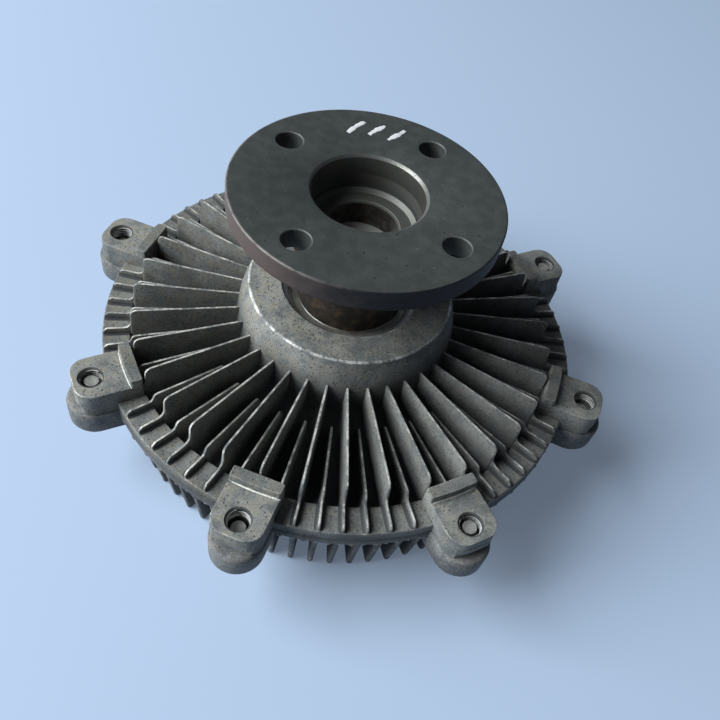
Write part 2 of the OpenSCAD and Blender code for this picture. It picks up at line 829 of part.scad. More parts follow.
// Spiral strip from the shaft's slot to the slotted post
module bimetal_coil() {
    steps = 24 * coil_turns;
    growth = (coil_out_r - coil_in_r) / steps;
    function turn(i, side) = (coil_in_r + growth * i + side * coil_t / 2)
        * [cos(360 * coil_turns * i / steps), sin(360 * coil_turns * i / steps)];
    color([0.55, 0.50, 0.42])
    translate([0, 0, z_coil]) linear_extrude(coil_w) {
        polygon(concat(
            [for (i = [0 : steps]) turn(i, 1)],
            [for (i = [steps : -1 : 0]) turn(i, -1)]
        ));
        // Inner end, folded across the shaft's slot
        translate([-stem_r, -coil_t / 2]) square([stem_r + coil_in_r + coil_t / 2, coil_t]);
        // Outer end, folded into the post
        translate([coil_out_r - coil_t / 2, -coil_t / 2]) square([post_t + coil_t, coil_t]);
    }
}

drive_hub();
rotor_disc();
bearing_inner_race();
bearing_outer_race();
bearing_balls();
bearing_cage();
bearing_rear_seal();
bearing_front_seal();
rear_housing();
front_cover();
cover_seal_ring();
cover_screws();
cover_screw_washers();
separator_plate();
separator_screws();
valve_arm();
valve_shaft();
valve_shaft_seal();
valve_shaft_clip();
bimetal_coil();
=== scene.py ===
"""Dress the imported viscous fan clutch: finned castings, drive hub, bearing, valve, screws, studio and camera."""

import logging
import math
from dataclasses import dataclass
from enum import Enum
from typing import Callable, Sequence, TypeVar, Union

import bmesh
import bpy
from mathutils import Matrix, Vector


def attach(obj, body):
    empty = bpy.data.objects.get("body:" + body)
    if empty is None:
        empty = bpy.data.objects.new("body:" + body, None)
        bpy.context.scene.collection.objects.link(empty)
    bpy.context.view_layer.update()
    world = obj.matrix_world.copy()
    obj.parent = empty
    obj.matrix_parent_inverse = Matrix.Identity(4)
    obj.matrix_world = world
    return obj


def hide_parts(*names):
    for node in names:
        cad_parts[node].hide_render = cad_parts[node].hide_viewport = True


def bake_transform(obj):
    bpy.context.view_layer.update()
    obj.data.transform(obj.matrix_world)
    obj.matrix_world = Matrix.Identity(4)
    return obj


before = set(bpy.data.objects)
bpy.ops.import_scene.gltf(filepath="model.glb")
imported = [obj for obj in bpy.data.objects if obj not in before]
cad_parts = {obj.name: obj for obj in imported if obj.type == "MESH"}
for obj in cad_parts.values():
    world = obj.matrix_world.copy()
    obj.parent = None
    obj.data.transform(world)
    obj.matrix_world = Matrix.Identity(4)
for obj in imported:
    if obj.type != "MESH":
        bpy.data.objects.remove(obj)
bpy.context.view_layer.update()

LOG = logging.getLogger("fan_clutch")
MM = 0.001
JOINT = 32.2  # height of the joint between the two castings, in millimetres
RIM_R = 82.2  # radius of their rims
ROUND_SHARE = 0.48  # most of a side that the rounding of one corner takes
# A corner's mark of bare metal also carries its painted highlight.
GUARD_SHARE = 0.912  # most of a side that the wear of one corner reaches along

Amount = TypeVar("Amount", float, Vector)
Finish = bpy.types.Material
Level = tuple[float, float, float, float]
Piece = bpy.types.Object
Point = tuple[float, float]
Socket = bpy.types.NodeSocket
Triple = tuple[float, float, float]
Value = Union[float, Socket]


class Body(str, Enum):
    """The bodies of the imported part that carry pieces."""

    HOUSING = "housing"
    HUB = "hub"
    VALVE = "valve"


class Cut(str, Enum):
    """How one solid acts on another."""

    JOIN = "UNION"
    TAKE = "DIFFERENCE"
    KEEP = "INTERSECT"


@dataclass(frozen=True)
class Corner:
    """A corner of an outline in millimetres, with its rounding, its bare metal and painted highlight, and its dirt and
    painted shade.
    """

    x: float
    y: float
    round: float = 0.0
    wear_and_highlight: float = 0.0
    grime_and_shade: float = 0.0


def corners(*rows: Sequence[float]) -> list[Corner]:
    """Corners from rows of x and y, and of rounding, bare metal with painted highlight, and dirt with painted shade
    where they have any.
    """
    return [Corner(*row) for row in rows]


def blend(a: Amount, b: Amount, share: float) -> Amount:
    """Number or point part of the way from a to b."""
    return a + (b - a) * share


def slope(r: float, a: Point, b: Point) -> float:
    """Height at radius r on the slope from a to b, which is level beyond them."""
    share = (r - a[0]) / (b[0] - a[0])
    return blend(a[1], b[1], min(max(share, 0.0), 1.0))


def heading(line: Sequence[Corner], i: int, closed: bool = False) -> Vector:
    """Direction of a line at one of its points.

    Args:
        line: the line's points in order.
        i: which point.
        closed: whether the last point joins the first.

    Returns:
        The direction, of length 1.
    """
    count = len(line)
    before = line[i - 1] if closed else line[max(i - 1, 0)]
    after = line[(i + 1) % count] if closed else line[min(i + 1, count - 1)]
    return Vector((after.x - before.x, after.y - before.y)).normalized()


def rounded(outline: Sequence[Corner], closed: bool = True, steps: int = 3, guard: float = 0.45) -> list[Corner]:
    """Replace each rounded corner of an outline by points on its arc.

    Args:
        outline: the outline's corners in order.
        closed: whether the last corner joins the first.
        steps: number of straight pieces in an arc.
        guard: distance from a marked arc at which its bare metal and painted highlight have ended, or 0 where they run
            on along the sides.

    Returns:
        The outline's points, each with its bare metal and painted highlight, and its dirt and painted shade.
    """
    points: list[Corner] = []
    count = len(outline)
    for i, c in enumerate(outline):
        at_end = not closed and i in (0, count - 1)
        if c.round <= 0.0 or at_end:
            points.append(Corner(c.x, c.y, 0.0, c.wear_and_highlight, c.grime_and_shade))
            continue
        here = Vector((c.x, c.y))
        sides = [Vector((n.x, n.y)) - here for n in (outline[i - 1], outline[(i + 1) % count])]
        half = sides[0].angle(sides[1]) / 2.0
        shortest = min(side.length for side in sides)
        reach = min(c.round / math.tan(half), ROUND_SHARE * shortest)
        ways = [side.normalized() for side in sides]
        centre = here + (ways[0] + ways[1]).normalized() * (reach * math.tan(half) / math.sin(half))
        start, end = (here + way * reach - centre for way in ways)
        turn = start.angle_signed(end, 0.0)
        arc = []
        for k in range(steps + 1):
            spoke = start.copy()
            spoke.rotate(Matrix.Rotation(-turn * k / steps, 2))
            arc.append(Corner(centre.x + spoke.x, centre.y + spoke.y, 0.0, c.wear_and_highlight, c.grime_and_shade))
        if min(c.wear_and_highlight, guard) > 0.0 and reach + guard < GUARD_SHARE * shortest:
            first, last = (here + way * (reach + guard) for way in ways)
            arc = [Corner(first.x, first.y, 0.0, 0.0, c.grime_and_shade), *arc, Corner(last.x, last.y, 0.0, 0.0, c.grime_and_shade)]
        points += arc
    return points


def divided(points: Sequence[Corner], longest: float) -> list[Corner]:
    """Put extra points on an open line so that no stretch is longer than a given length.

    Args:
        points: the line's points in order.
        longest: longest stretch in millimetres.

    Returns:
        The line with its extra points.
    """
    line = [points[0]]
    for a, b in zip(points, points[1:]):
        parts = max(1, math.ceil(math.hypot(b.x - a.x, b.y - a.y) / longest))
        for k in range(1, parts + 1):
            s = k / parts
            line.append(Corner(blend(a.x, b.x, s), blend(a.y, b.y, s), 0.0,
                               blend(a.wear_and_highlight, b.wear_and_highlight, s), blend(a.grime_and_shade, b.grime_and_shade, s)))
    return line


class Draft:
    """A mesh drawn in millimetres, with bare metal and painted highlight, and dirt and painted shade, kept for each of
    its points.
    """

    def __init__(self) -> None:
        """Start an empty mesh with its two attributes."""
        self.bm = bmesh.new()
        self.wear_and_highlight = self.bm.verts.layers.float.new("wear_and_highlight")
        self.grime_and_shade = self.bm.verts.layers.float.new("grime_and_shade")

    def point(self, place: Sequence[float], wear_and_highlight: float = 0.0, grime_and_shade: float = 0.0) -> bmesh.types.BMVert:
        """Add one point.

        Args:
            place: x, y and z in millimetres.
            wear_and_highlight: how bare the metal is there and how strong its painted highlight, from 0 to 1.
            grime_and_shade: how dirty it is there and how deep its painted shade, from 0 to 1.

        Returns:
            The new vertex.
        """
        vert = self.bm.verts.new(place)
        vert[self.wear_and_highlight], vert[self.grime_and_shade] = wear_and_highlight, grime_and_shade
        return vert

    def skin(self, rows: Sequence[list], rows_close: bool) -> None:
        """Cover the strips between neighbouring rings of points, where a ring of one point is a pole.

        Args:
            rows: rings of vertices.
            rows_close: whether the last ring joins the first.
        """
        pairs = list(zip(rows, rows[1:])) + ([(rows[-1], rows[0])] if rows_close else [])
        for a, b in pairs:
            size = max(len(a), len(b))
            for k in range(size):
                n = (k + 1) % size
                loop = [a[k % len(a)], a[n % len(a)], b[n % len(b)], b[k % len(b)]]
                loop = list(dict.fromkeys(loop))
                if len(loop) > 2:
                    self.bm.faces.new(loop)

    def tube(self, rows: Sequence[list]) -> None:
        """Cover a run of rings and close both its ends.

        Args:
            rows: rings of vertices.
        """
        self.skin(rows, rows_close=False)
        for end in (rows[0], rows[-1]):
            self.bm.faces.new(end)

    def lathe(self, outline: Sequence[Corner], steps: int, at: Point = (0.0, 0.0)) -> None:
        """Turn a closed outline of (radius, height) round an upright axis.

        Args:
            outline: the section's points.
            steps: number of steps in a full turn.
            at: where the axis stands, in x and y.
        """
        rows = []
        for c in outline:
            if c.x < 1e-6:
                rows.append([self.point((*at, c.y), c.wear_and_highlight, c.grime_and_shade)])
                continue
            turns = (2.0 * math.pi * k / steps for k in range(steps))
            rows.append([self.point((at[0] + c.x * math.cos(a), at[1] + c.x * math.sin(a), c.y), c.wear_and_highlight, c.grime_and_shade)
                         for a in turns])
        self.skin(rows, rows_close=True)

    def slab(self, outline: Sequence[Corner], levels: Sequence[Level]) -> None:
        """Stack copies of a flat outline, each shrunk by its own inset, and close the ends.

        Args:
            outline: the outline's points, in x and y, turning left.
            levels: height, inset, bare metal with painted highlight, and dirt with painted shade of each copy.
        """
        ways = [heading(outline, i, closed=True) for i in range(len(outline))]
        self.tube([[self.point((c.x - way.y * inset, c.y + way.x * inset, z), wear_and_highlight, grime_and_shade)
                    for c, way in zip(outline, ways)] for z, inset, wear_and_highlight, grime_and_shade in levels])

    def blade(self, crest: Sequence[Corner], seat: Callable[[float, float], Point],
              root: Callable[[float, float], Point], edge_t: float, draft: float, flat: float, flare: float) -> None:
        """Draw one radial fin that lies along +X, with rounded edges and a flared root.

        Args:
            crest: points of the fin's free edge, in radius and height.
            seat: point of the body's surface that belongs to a point of the crest.
            root: point inside the body that belongs to it.
            edge_t: the fin's thickness at its free edge.
            draft: how much the fin thickens for each millimetre below that edge.
            flat: width of the flat left on the free edge between its rounded sides.
            flare: size of the fillet at the root.
        """
        rows = []
        edge = (edge_t - flat) / 2.0
        for i, c in enumerate(crest):
            here, foot, deep = Vector((c.x, c.y)), Vector(seat(c.x, c.y)), Vector(root(c.x, c.y))
            along = heading(crest, i)
            out = Vector((-along.y, along.x))
            if out.dot(here - deep) < 0.0:
                out.negate()
            shoulder = here - out * edge
            drop, inward = foot - shoulder, (deep - here).normalized()
            depth = max(drop.dot(inward), 0.08)
            down = drop.normalized() if depth > 0.1 else inward
            low = shoulder + down * depth
            rise = min(flare, depth * 0.6)
            # The crest is marked bare and pale as a painted highlight. From the shoulder down to the root the colour
            # darkens as dirt and painted shade between the fins.
            side = [(here, flat / 2.0, c.wear_and_highlight, 0.0),
                    (here - out * edge * 0.3, edge_t / 2.0 - edge * 0.3, 0.5 * c.wear_and_highlight, 0.1)]
            for spot, swell, grime_and_shade in (
                    (shoulder, 0.0, 0.35),
                    (shoulder + down * min(0.2, depth * 0.3), 0.0, 0.35),
                    (blend(shoulder, low, 0.55), 0.0, 0.5),
                    (low - down * rise, 0.0, 0.75),
                    (low - down * rise * 0.3, 0.3 * rise, 0.9),
                    (low, rise, 1.0),
                    (deep, rise, 1.0)):
                side.append((spot, (edge_t + draft * (spot - shoulder).length) / 2.0 + swell, 0.0, grime_and_shade))
            rows.append([self.point((spot.x, sign * wide, spot.y), wear_and_highlight, max(grime_and_shade, c.grime_and_shade))
                         for sign, line in ((-1.0, side[::-1]), (1.0, side)) for spot, wide, wear_and_highlight, grime_and_shade in line])
        self.tube(rows)

    def piece(self, name: str) -> Piece:
        """Close the draft and make it an object in metres at the origin.

        Args:
            name: the object's name.

        Returns:
            The new object, linked to the scene.
        """
        bmesh.ops.recalc_face_normals(self.bm, faces=self.bm.faces)
        bmesh.ops.scale(self.bm, vec=(MM, MM, MM), verts=self.bm.verts)
        mesh = bpy.data.meshes.new(name)
        self.bm.to_mesh(mesh)
        self.bm.free()
        return placed(name, mesh)


def placed(name: str, mesh: bpy.types.Mesh) -> Piece:
    """Link a mesh to the scene as an object at the origin."""
    obj = bpy.data.objects.new(name, mesh)
    bpy.context.scene.collection.objects.link(obj)
    return obj


def turned(name: str, outline: Sequence[Corner], steps: int, at: Point = (0.0, 0.0)) -> Piece:
    """Solid turned from an outline of (radius, height) round an upright axis."""
    d = Draft()
    d.lathe(outline, steps, at)
    return d.piece(name)


def stacked(name: str, outline: Sequence[Corner], levels: Sequence[Level]) -> Piece:
    """Solid stacked from copies of an outline, each with its height, inset, wear and grime."""
    d = Draft()
    d.slab(outline, levels)
    return d.piece(name)


def baked(obj: Piece) -> bpy.types.Mesh:
    """Plain mesh of an object with its modifiers, which are then removed.

    Args:
        obj: the object to evaluate.

    Returns:
        A mesh of its own.
    """
    bpy.context.view_layer.update()
    graph = bpy.context.evaluated_depsgraph_get()
    mesh = bpy.data.meshes.new_from_object(obj.evaluated_get(graph), preserve_all_data_layers=True, depsgraph=graph)
    obj.modifiers.clear()
    return mesh


def carved(obj: Piece, tool: Piece, cut: Cut) -> Piece:
    """Join a closed solid with another, cut the other out of it or keep what they share, and drop the other.

    Args:
        obj: the solid that stays.
        tool: the solid that is used up.
        cut: what is done.

    Returns:
        The first object with its new mesh.
    """
    step = obj.modifiers.new("carve", "BOOLEAN")
    step.operation, step.solver, step.object = cut.value, "MANIFOLD", tool
    obj.data = baked(obj)
    bpy.data.objects.remove(tool)
    return obj


def joined(name: str, parts: Sequence[Piece], sharp_deg: float = 38.0) -> Piece:
    """Put several closed shells into one object with smooth shading up to an angle.

    Args:
        name: the new object's name.
        parts: the shells, which are used up.
        sharp_deg: edges sharper than this stay hard.

    Returns:
        The new object.
    """
    bm = bmesh.new()
    for part in parts:
        bm.from_mesh(part.data)
        bpy.data.objects.remove(part)
    mesh = bpy.data.meshes.new(name)
    bm.to_mesh(mesh)
    bm.free()
    mesh.shade_smooth()
    mesh.set_sharp_from_angle(angle=math.radians(sharp_deg))
    return placed(name, mesh)


class NodeWriter:
    """Adds nodes to one node tree."""

    def __init__(self, tree: bpy.types.NodeTree) -> None:
        """Write into the given tree."""
        self.tree = tree

    def fill(self, node: bpy.types.Node, inputs: dict[object, object]) -> bpy.types.Node:
        """Set a node's inputs to values or links.

        Args:
            node: the node.
            inputs: value or socket for each input, by name or index.

        Returns:
            The same node.
        """
        for key, value in inputs.items():
            if isinstance(value, Socket):
                self.tree.links.new(value, node.inputs[key])
            elif isinstance(value, tuple) and node.inputs[key].type == "RGBA":
                node.inputs[key].default_value = (*value, 1.0)
            else:
                node.inputs[key].default_value = value
        return node

    def add(self, kind: str, inputs: dict[object, object], **settings: object) -> bpy.types.Node:
        """Add a node and fill its inputs.

        Args:
            kind: the node's type.
            inputs: value or socket for each input, by name or index.
            settings: the node's own settings.

        Returns:
            The new node.
        """
        node = self.tree.nodes.new(kind)
        for key, value in settings.items():
            setattr(node, key, value)
        return self.fill(node, inputs)

    def math(self, operation: str, *terms: Value) -> Socket:
        """One step of arithmetic."""
        return self.add("ShaderNodeMath", dict(enumerate(terms)), operation=operation).outputs[0]

    def both(self, first: Value, *others: Value) -> Value:
        """Product of several masks."""
        for mask in others:
            first = self.math("MULTIPLY", first, mask)
        return first

    def plus(self, a: Value, b: Value) -> Socket:
        """Sum of two values."""
        return self.math("ADD", a, b)

    def between(self, share: Value, a: Value, b: Value) -> Socket:
        """Number between two numbers."""
        return self.add("ShaderNodeMix", {0: share, 2: a, 3: b}, data_type="FLOAT").outputs[0]

    def shown(self) -> Socket:
        """Mask of the rays that show the surroundings themselves: the camera's, and those in gloss and glass."""
        path = self.add("ShaderNodeLightPath", {}).outputs
        seen = self.math("MAXIMUM", path["Is Camera Ray"], path["Is Glossy Ray"])
        return self.math("MAXIMUM", seen, path["Is Transmission Ray"])


class Tree(NodeWriter):
    """A Geometry Nodes tree under construction, with named inputs."""

    def __init__(self, name: str) -> None:
        """Start a tree that takes and gives geometry."""
        super().__init__(bpy.data.node_groups.new(name, "GeometryNodeTree"))
        for way in ("INPUT", "OUTPUT"):
            self.tree.interface.new_socket("Geometry", in_out=way, socket_type="NodeSocketGeometry")
        self.entry = self.add("NodeGroupInput", {})

    def ask(self, name: str, kind: str, default: object = None) -> Socket:
        """Add a named input.

        Args:
            name: the input's name.
            kind: the socket's type, such as Float.
            default: its value until it is set.

        Returns:
            The socket that gives the input's value.
        """
        item = self.tree.interface.new_socket(name, in_out="INPUT", socket_type="NodeSocket" + kind)
        if default is not None:
            item.default_value = default
        return self.entry.outputs[name]

    def close(self, geometry: Socket, material: Socket) -> None:
        """End the tree in Realize Instances and Set Material."""
        solid = self.add("GeometryNodeRealizeInstances", {"Geometry": geometry})
        dressed = self.add("GeometryNodeSetMaterial", {"Geometry": solid.outputs[0], "Material": material})
        self.add("NodeGroupOutput", {0: dressed.outputs[0]})

    def run(self, obj: Piece, values: dict[str, object]) -> Piece:
        """Apply the tree to an object and keep the result as its plain mesh.

        Args:
            obj: the object whose mesh goes in.
            values: what each named input is set to.

        Returns:
            The same object with the resulting mesh.
        """
        step = obj.modifiers.new(self.tree.name, "NODES")
        step.node_group = self.tree
        for item in self.tree.interface.items_tree:
            if item.in_out == "INPUT" and item.name in values:
                step[item.identifier] = values[item.name]
        obj.data = baked(obj)
        return obj


class RingOf:
    """Repeats a shape round the spin axis, each copy turned a little off its place as cast rows are."""

    def __init__(self) -> None:
        """Build the tree once."""
        t = Tree("ring_of_copies")
        count, start = t.ask("Count", "Int", 8), t.ask("Start", "Float", 0.0)
        play, seed = t.ask("Play", "Float", 0.0), t.ask("Seed", "Int", 1)
        material = t.ask("Material", "Material")
        points = t.add("GeometryNodePoints", {"Count": count})
        share = t.math("DIVIDE", t.add("GeometryNodeInputIndex", {}).outputs[0], count)
        turn = t.math("MULTIPLY_ADD", share, 2.0 * math.pi, start)
        off = t.add("FunctionNodeRandomValue", {2: t.both(play, -1.0), 3: play, "Seed": seed}, data_type="FLOAT")
        angle = t.plus(turn, off.outputs[1])
        spin = t.add("FunctionNodeAxisAngleToRotation", {"Axis": (0.0, 0.0, 1.0), "Angle": angle})
        copies = t.add("GeometryNodeInstanceOnPoints", {
            "Points": points.outputs[0], "Instance": t.entry.outputs["Geometry"], "Rotation": spin.outputs[0]})
        t.close(copies.outputs[0], material)
        self.tree = t

    def repeat(self, obj: Piece, material: Finish, count: int, start_deg: float = 0.0, play_deg: float = 0.0,
               seed: int = 1) -> Piece:
        """Turn one shape into a ring of copies.

        Args:
            obj: the shape, drawn along +X.
            material: finish of the copies.
            count: number of copies.
            start_deg: direction of the first copy.
            play_deg: most that a copy is turned off its place.
            seed: seed of that play.

        Returns:
            The same object, now with all the copies.
        """
        return self.tree.run(obj, {"Count": count, "Start": math.radians(start_deg), "Play": math.radians(play_deg),
                                   "Seed": seed, "Material": material})


class ThreadOf:
    """Winds a thread's ridge round an upright hole or shank, marked bare so that it is painted pale as a highlight."""

    def __init__(self) -> None:
        """Build the tree once."""
        t = Tree("wound_thread")
        pitch, turns = t.ask("Pitch", "Float", MM), t.ask("Turns", "Float", 4.0)
        radius, ridge = t.ask("Radius", "Float", 3.0 * MM), t.ask("Ridge", "Float", 0.4 * MM)
        place = t.ask("Place", "Vector", (0.0, 0.0, 0.0))
        material = t.ask("Material", "Material")
        line = t.add("GeometryNodeCurveSpiral", {
            "Resolution": 28, "Rotations": turns, "Start Radius": radius, "End Radius": radius,
            "Height": t.both(pitch, turns)})
        section = t.add("GeometryNodeCurvePrimitiveCircle", {"Resolution": 4, "Radius": ridge}, mode="RADIUS")
        wound = t.add("GeometryNodeCurveToMesh", {
            "Curve": line.outputs[0], "Profile Curve": section.outputs[0], "Fill Caps": True})
        moved = t.add("GeometryNodeTransform", {"Geometry": wound.outputs[0], "Translation": place})
        # Every ridge is marked bare, which paints it pale as a highlight.
        rubbed_and_lit = t.add("GeometryNodeStoreNamedAttribute", {
            "Geometry": moved.outputs[0], "Name": "wear_and_highlight", "Value": 0.6}, data_type="FLOAT", domain="POINT")
        t.close(rubbed_and_lit.outputs[0], material)
        self.tree = t

    def wind(self, name: str, material: Finish, radius: float, ridge: float, pitch: float, turns: float,
             place: Triple) -> Piece:
        """Make one thread.

        Args:
            name: the object's name.
            material: its finish.
            radius: radius of the ridge's centre line, in millimetres.
            ridge: half width of the ridge.
            pitch: rise in one turn.
            turns: number of turns.
            place: foot of its axis.

        Returns:
            The thread as an object.
        """
        obj = placed(name, bpy.data.meshes.new(name))
        return self.tree.run(obj, {"Pitch": pitch * MM, "Turns": turns, "Radius": radius * MM, "Ridge": ridge * MM,
                                   "Place": tuple(c * MM for c in place), "Material": material})


class Surface(NodeWriter):
    """Writes one procedural material on Object coordinates, node by node."""

    def __init__(self, name: str) -> None:
        """Start a material with its shader.

        Args:
            name: the material's name.
        """
        self.material = bpy.data.materials.new(name)
        self.material.use_nodes = True
        super().__init__(self.material.node_tree)
        self.tree.nodes.clear()
        self.shader = self.add("ShaderNodeBsdfPrincipled", {})
        self.add("ShaderNodeOutputMaterial", {"Surface": self.shader.outputs[0]})
        self.place = self.add("ShaderNodeTexCoord", {}).outputs["Object"]
        self.x, y, self.z = self.add("ShaderNodeSeparateXYZ", {0: self.place}).outputs
        self.radius = self.math("SQRT", self.plus(self.both(self.x, self.x), self.both(y, y)))

    def noise(self, size_mm: float, detail: float = 4.0, rough: float = 0.55) -> Socket:
        """Soft noise whose features are about the given size."""
        return self.add("ShaderNodeTexNoise", {"Vector": self.place, "Scale": 1.0 / (size_mm * MM), "Detail": detail,
                                               "Roughness": rough}).outputs[0]

    def rings(self, pitch_mm: float) -> Socket:
        """Noise that changes with the radius alone, as turning marks do."""
        return self.add("ShaderNodeTexNoise", {"W": self.radius, "Scale": 1.0 / (pitch_mm * MM), "Detail": 2.0},
                        noise_dimensions="1D").outputs[0]

    def grains(self, size_mm: float) -> Socket:
        """Distance to the nearest of scattered grains."""
        grains = self.add("ShaderNodeTexVoronoi", {"Vector": self.place, "Scale": 1.0 / (size_mm * MM)})
        return grains.outputs["Distance"]

    def trait(self, name: str) -> Socket:
        """A value kept at each point of the mesh."""
        return self.add("ShaderNodeAttribute", {}, attribute_name=name).outputs["Fac"]

    def swing(self, noise: Socket, reach: float) -> Socket:
        """Noise moved to swing round 0."""
        return self.both(self.math("SUBTRACT", noise, 0.5), reach)

    def step(self, value: Value, low: float, high: float) -> Socket:
        """Smooth mask that goes from 0 at low to 1 at high, or the other way if low is above high."""
        down = low > high
        return self.add("ShaderNodeMapRange", {
            "Value": value, "From Min": min(low, high), "From Max": max(low, high),
            "To Min": 1.0 if down else 0.0, "To Max": 0.0 if down else 1.0},
            interpolation_type="SMOOTHSTEP").outputs[0]

    def span(self, value: Value, low_mm: float, high_mm: float) -> Socket:
        """Smooth mask over a length, with both its ends in millimetres."""
        return self.step(value, low_mm * MM, high_mm * MM)

    def mix(self, share: Value, a: object, b: object) -> Socket:
        """Colour between two colours."""
        return self.add("ShaderNodeMix", {0: share, 6: a, 7: b}, data_type="RGBA").outputs[2]

    def layered(self, colour: object, *layers: tuple[Value, float, object]) -> object:
        """Colour under layers of (mask, share, colour), from the lowest up."""
        for mask, share, over in layers:
            colour = self.mix(self.both(mask, share), colour, over)
        return colour

    def relief(self, height: Socket, depth_mm: float, strength: float = 0.5) -> Socket:
        """Bumped normal from a height."""
        return self.add("ShaderNodeBump", {
            "Height": height, "Distance": depth_mm * MM, "Strength": strength}).outputs[0]

    def done(self, colour: object, rough: Value, metal: Value, normal: Union[Socket, None] = None,
             gloss: float = 0.5) -> Finish:
        """Fill the shader and hand out the material.

        Args:
            colour: base colour.
            rough: roughness.
            metal: how metallic it is.
            normal: bumped normal, if there is one.
            gloss: strength of its plain reflections.

        Returns:
            The finished material.
        """
        inputs = {"Base Color": colour, "Roughness": rough, "Metallic": metal, "Specular IOR Level": gloss}
        if normal is not None:
            inputs["Normal"] = normal
        self.fill(self.shader, inputs)
        return self.material


@dataclass(frozen=True)
class CastAlloy:
    """Old cast aluminium: finely speckled skin, soot and painted shade low between the fins, tan dust, and bare edges
    painted pale as highlights.
    """

    name: str
    pale: Triple
    dark: Triple
    # Near black: soot specks and pits, and painted shade in hollows, at fin roots and in holes.
    soot_and_shade: Triple = (0.042, 0.045, 0.048)
    dust: Triple = (0.270, 0.220, 0.130)
    bare: Triple = (0.60, 0.60, 0.56)
    # Very pale bare metal for crests and edges, a painted highlight in place of their glints.
    edge: Triple = (0.84, 0.84, 0.80)
    dust_share: float = 0.45
    gloss: float = 0.22

    def make(self) -> Finish:
        """Build the material."""
        s = Surface(self.name)
        broad, blot = s.noise(15.0), s.noise(4.5, 5.0, 0.6)
        fine, grit = s.noise(1.1, 4.0, 0.7), s.noise(0.42, 2.0, 0.6)
        weather = s.span(s.x, 30.0, -45.0)
        pitted = s.step(s.plus(blot, s.both(weather, 0.12)), 0.38, 0.54)
        pits = s.both(s.step(s.grains(1.4), 0.26, 0.12), pitted)
        dusty = s.both(s.step(blot, 0.40, 0.60), s.step(fine, 0.42, 0.56), s.between(weather, 0.8, 1.5))
        # Darkened where the points carry dirt and painted shade, broken up by noise.
        sooty_and_shaded = s.step(s.plus(s.trait("grime_and_shade"), s.swing(blot, 0.8)), 0.12, 0.95)
        patchy = s.plus(s.swing(blot, 0.9), s.swing(fine, 0.5))
        # Bare edges where the points say so, painted very pale as highlights.
        worn_and_highlit = s.step(s.plus(s.trait("wear_and_highlight"), patchy), 0.42, 0.80)
        skin = s.layered(
            s.mix(s.step(s.plus(broad, blot), 0.78, 1.22), self.dark, self.pale),
            (dusty, self.dust_share, self.dust),
            (s.step(fine, 0.52, 0.72), 0.3, self.bare),
            (s.step(grit, 0.48, 0.34), 0.5, self.soot_and_shade),
            (s.step(grit, 0.56, 0.72), 0.2, self.bare),
            (sooty_and_shaded, 0.92, self.soot_and_shade),
            (pits, 0.85, self.soot_and_shade),
            (worn_and_highlit, 1.0, self.edge))
        rough = s.between(worn_and_highlit, s.between(sooty_and_shaded, s.between(fine, 0.50, 0.74), 0.85), 0.40)
        metal = s.between(worn_and_highlit, s.between(sooty_and_shaded, 0.08, 0.0), 0.25)
        lumps = s.math("SUBTRACT", s.plus(s.both(fine, 0.8), blot), s.both(pits, 0.8))
        return s.done(skin, rough, metal, s.relief(s.plus(lumps, s.both(grit, 0.4)), 0.28), self.gloss)


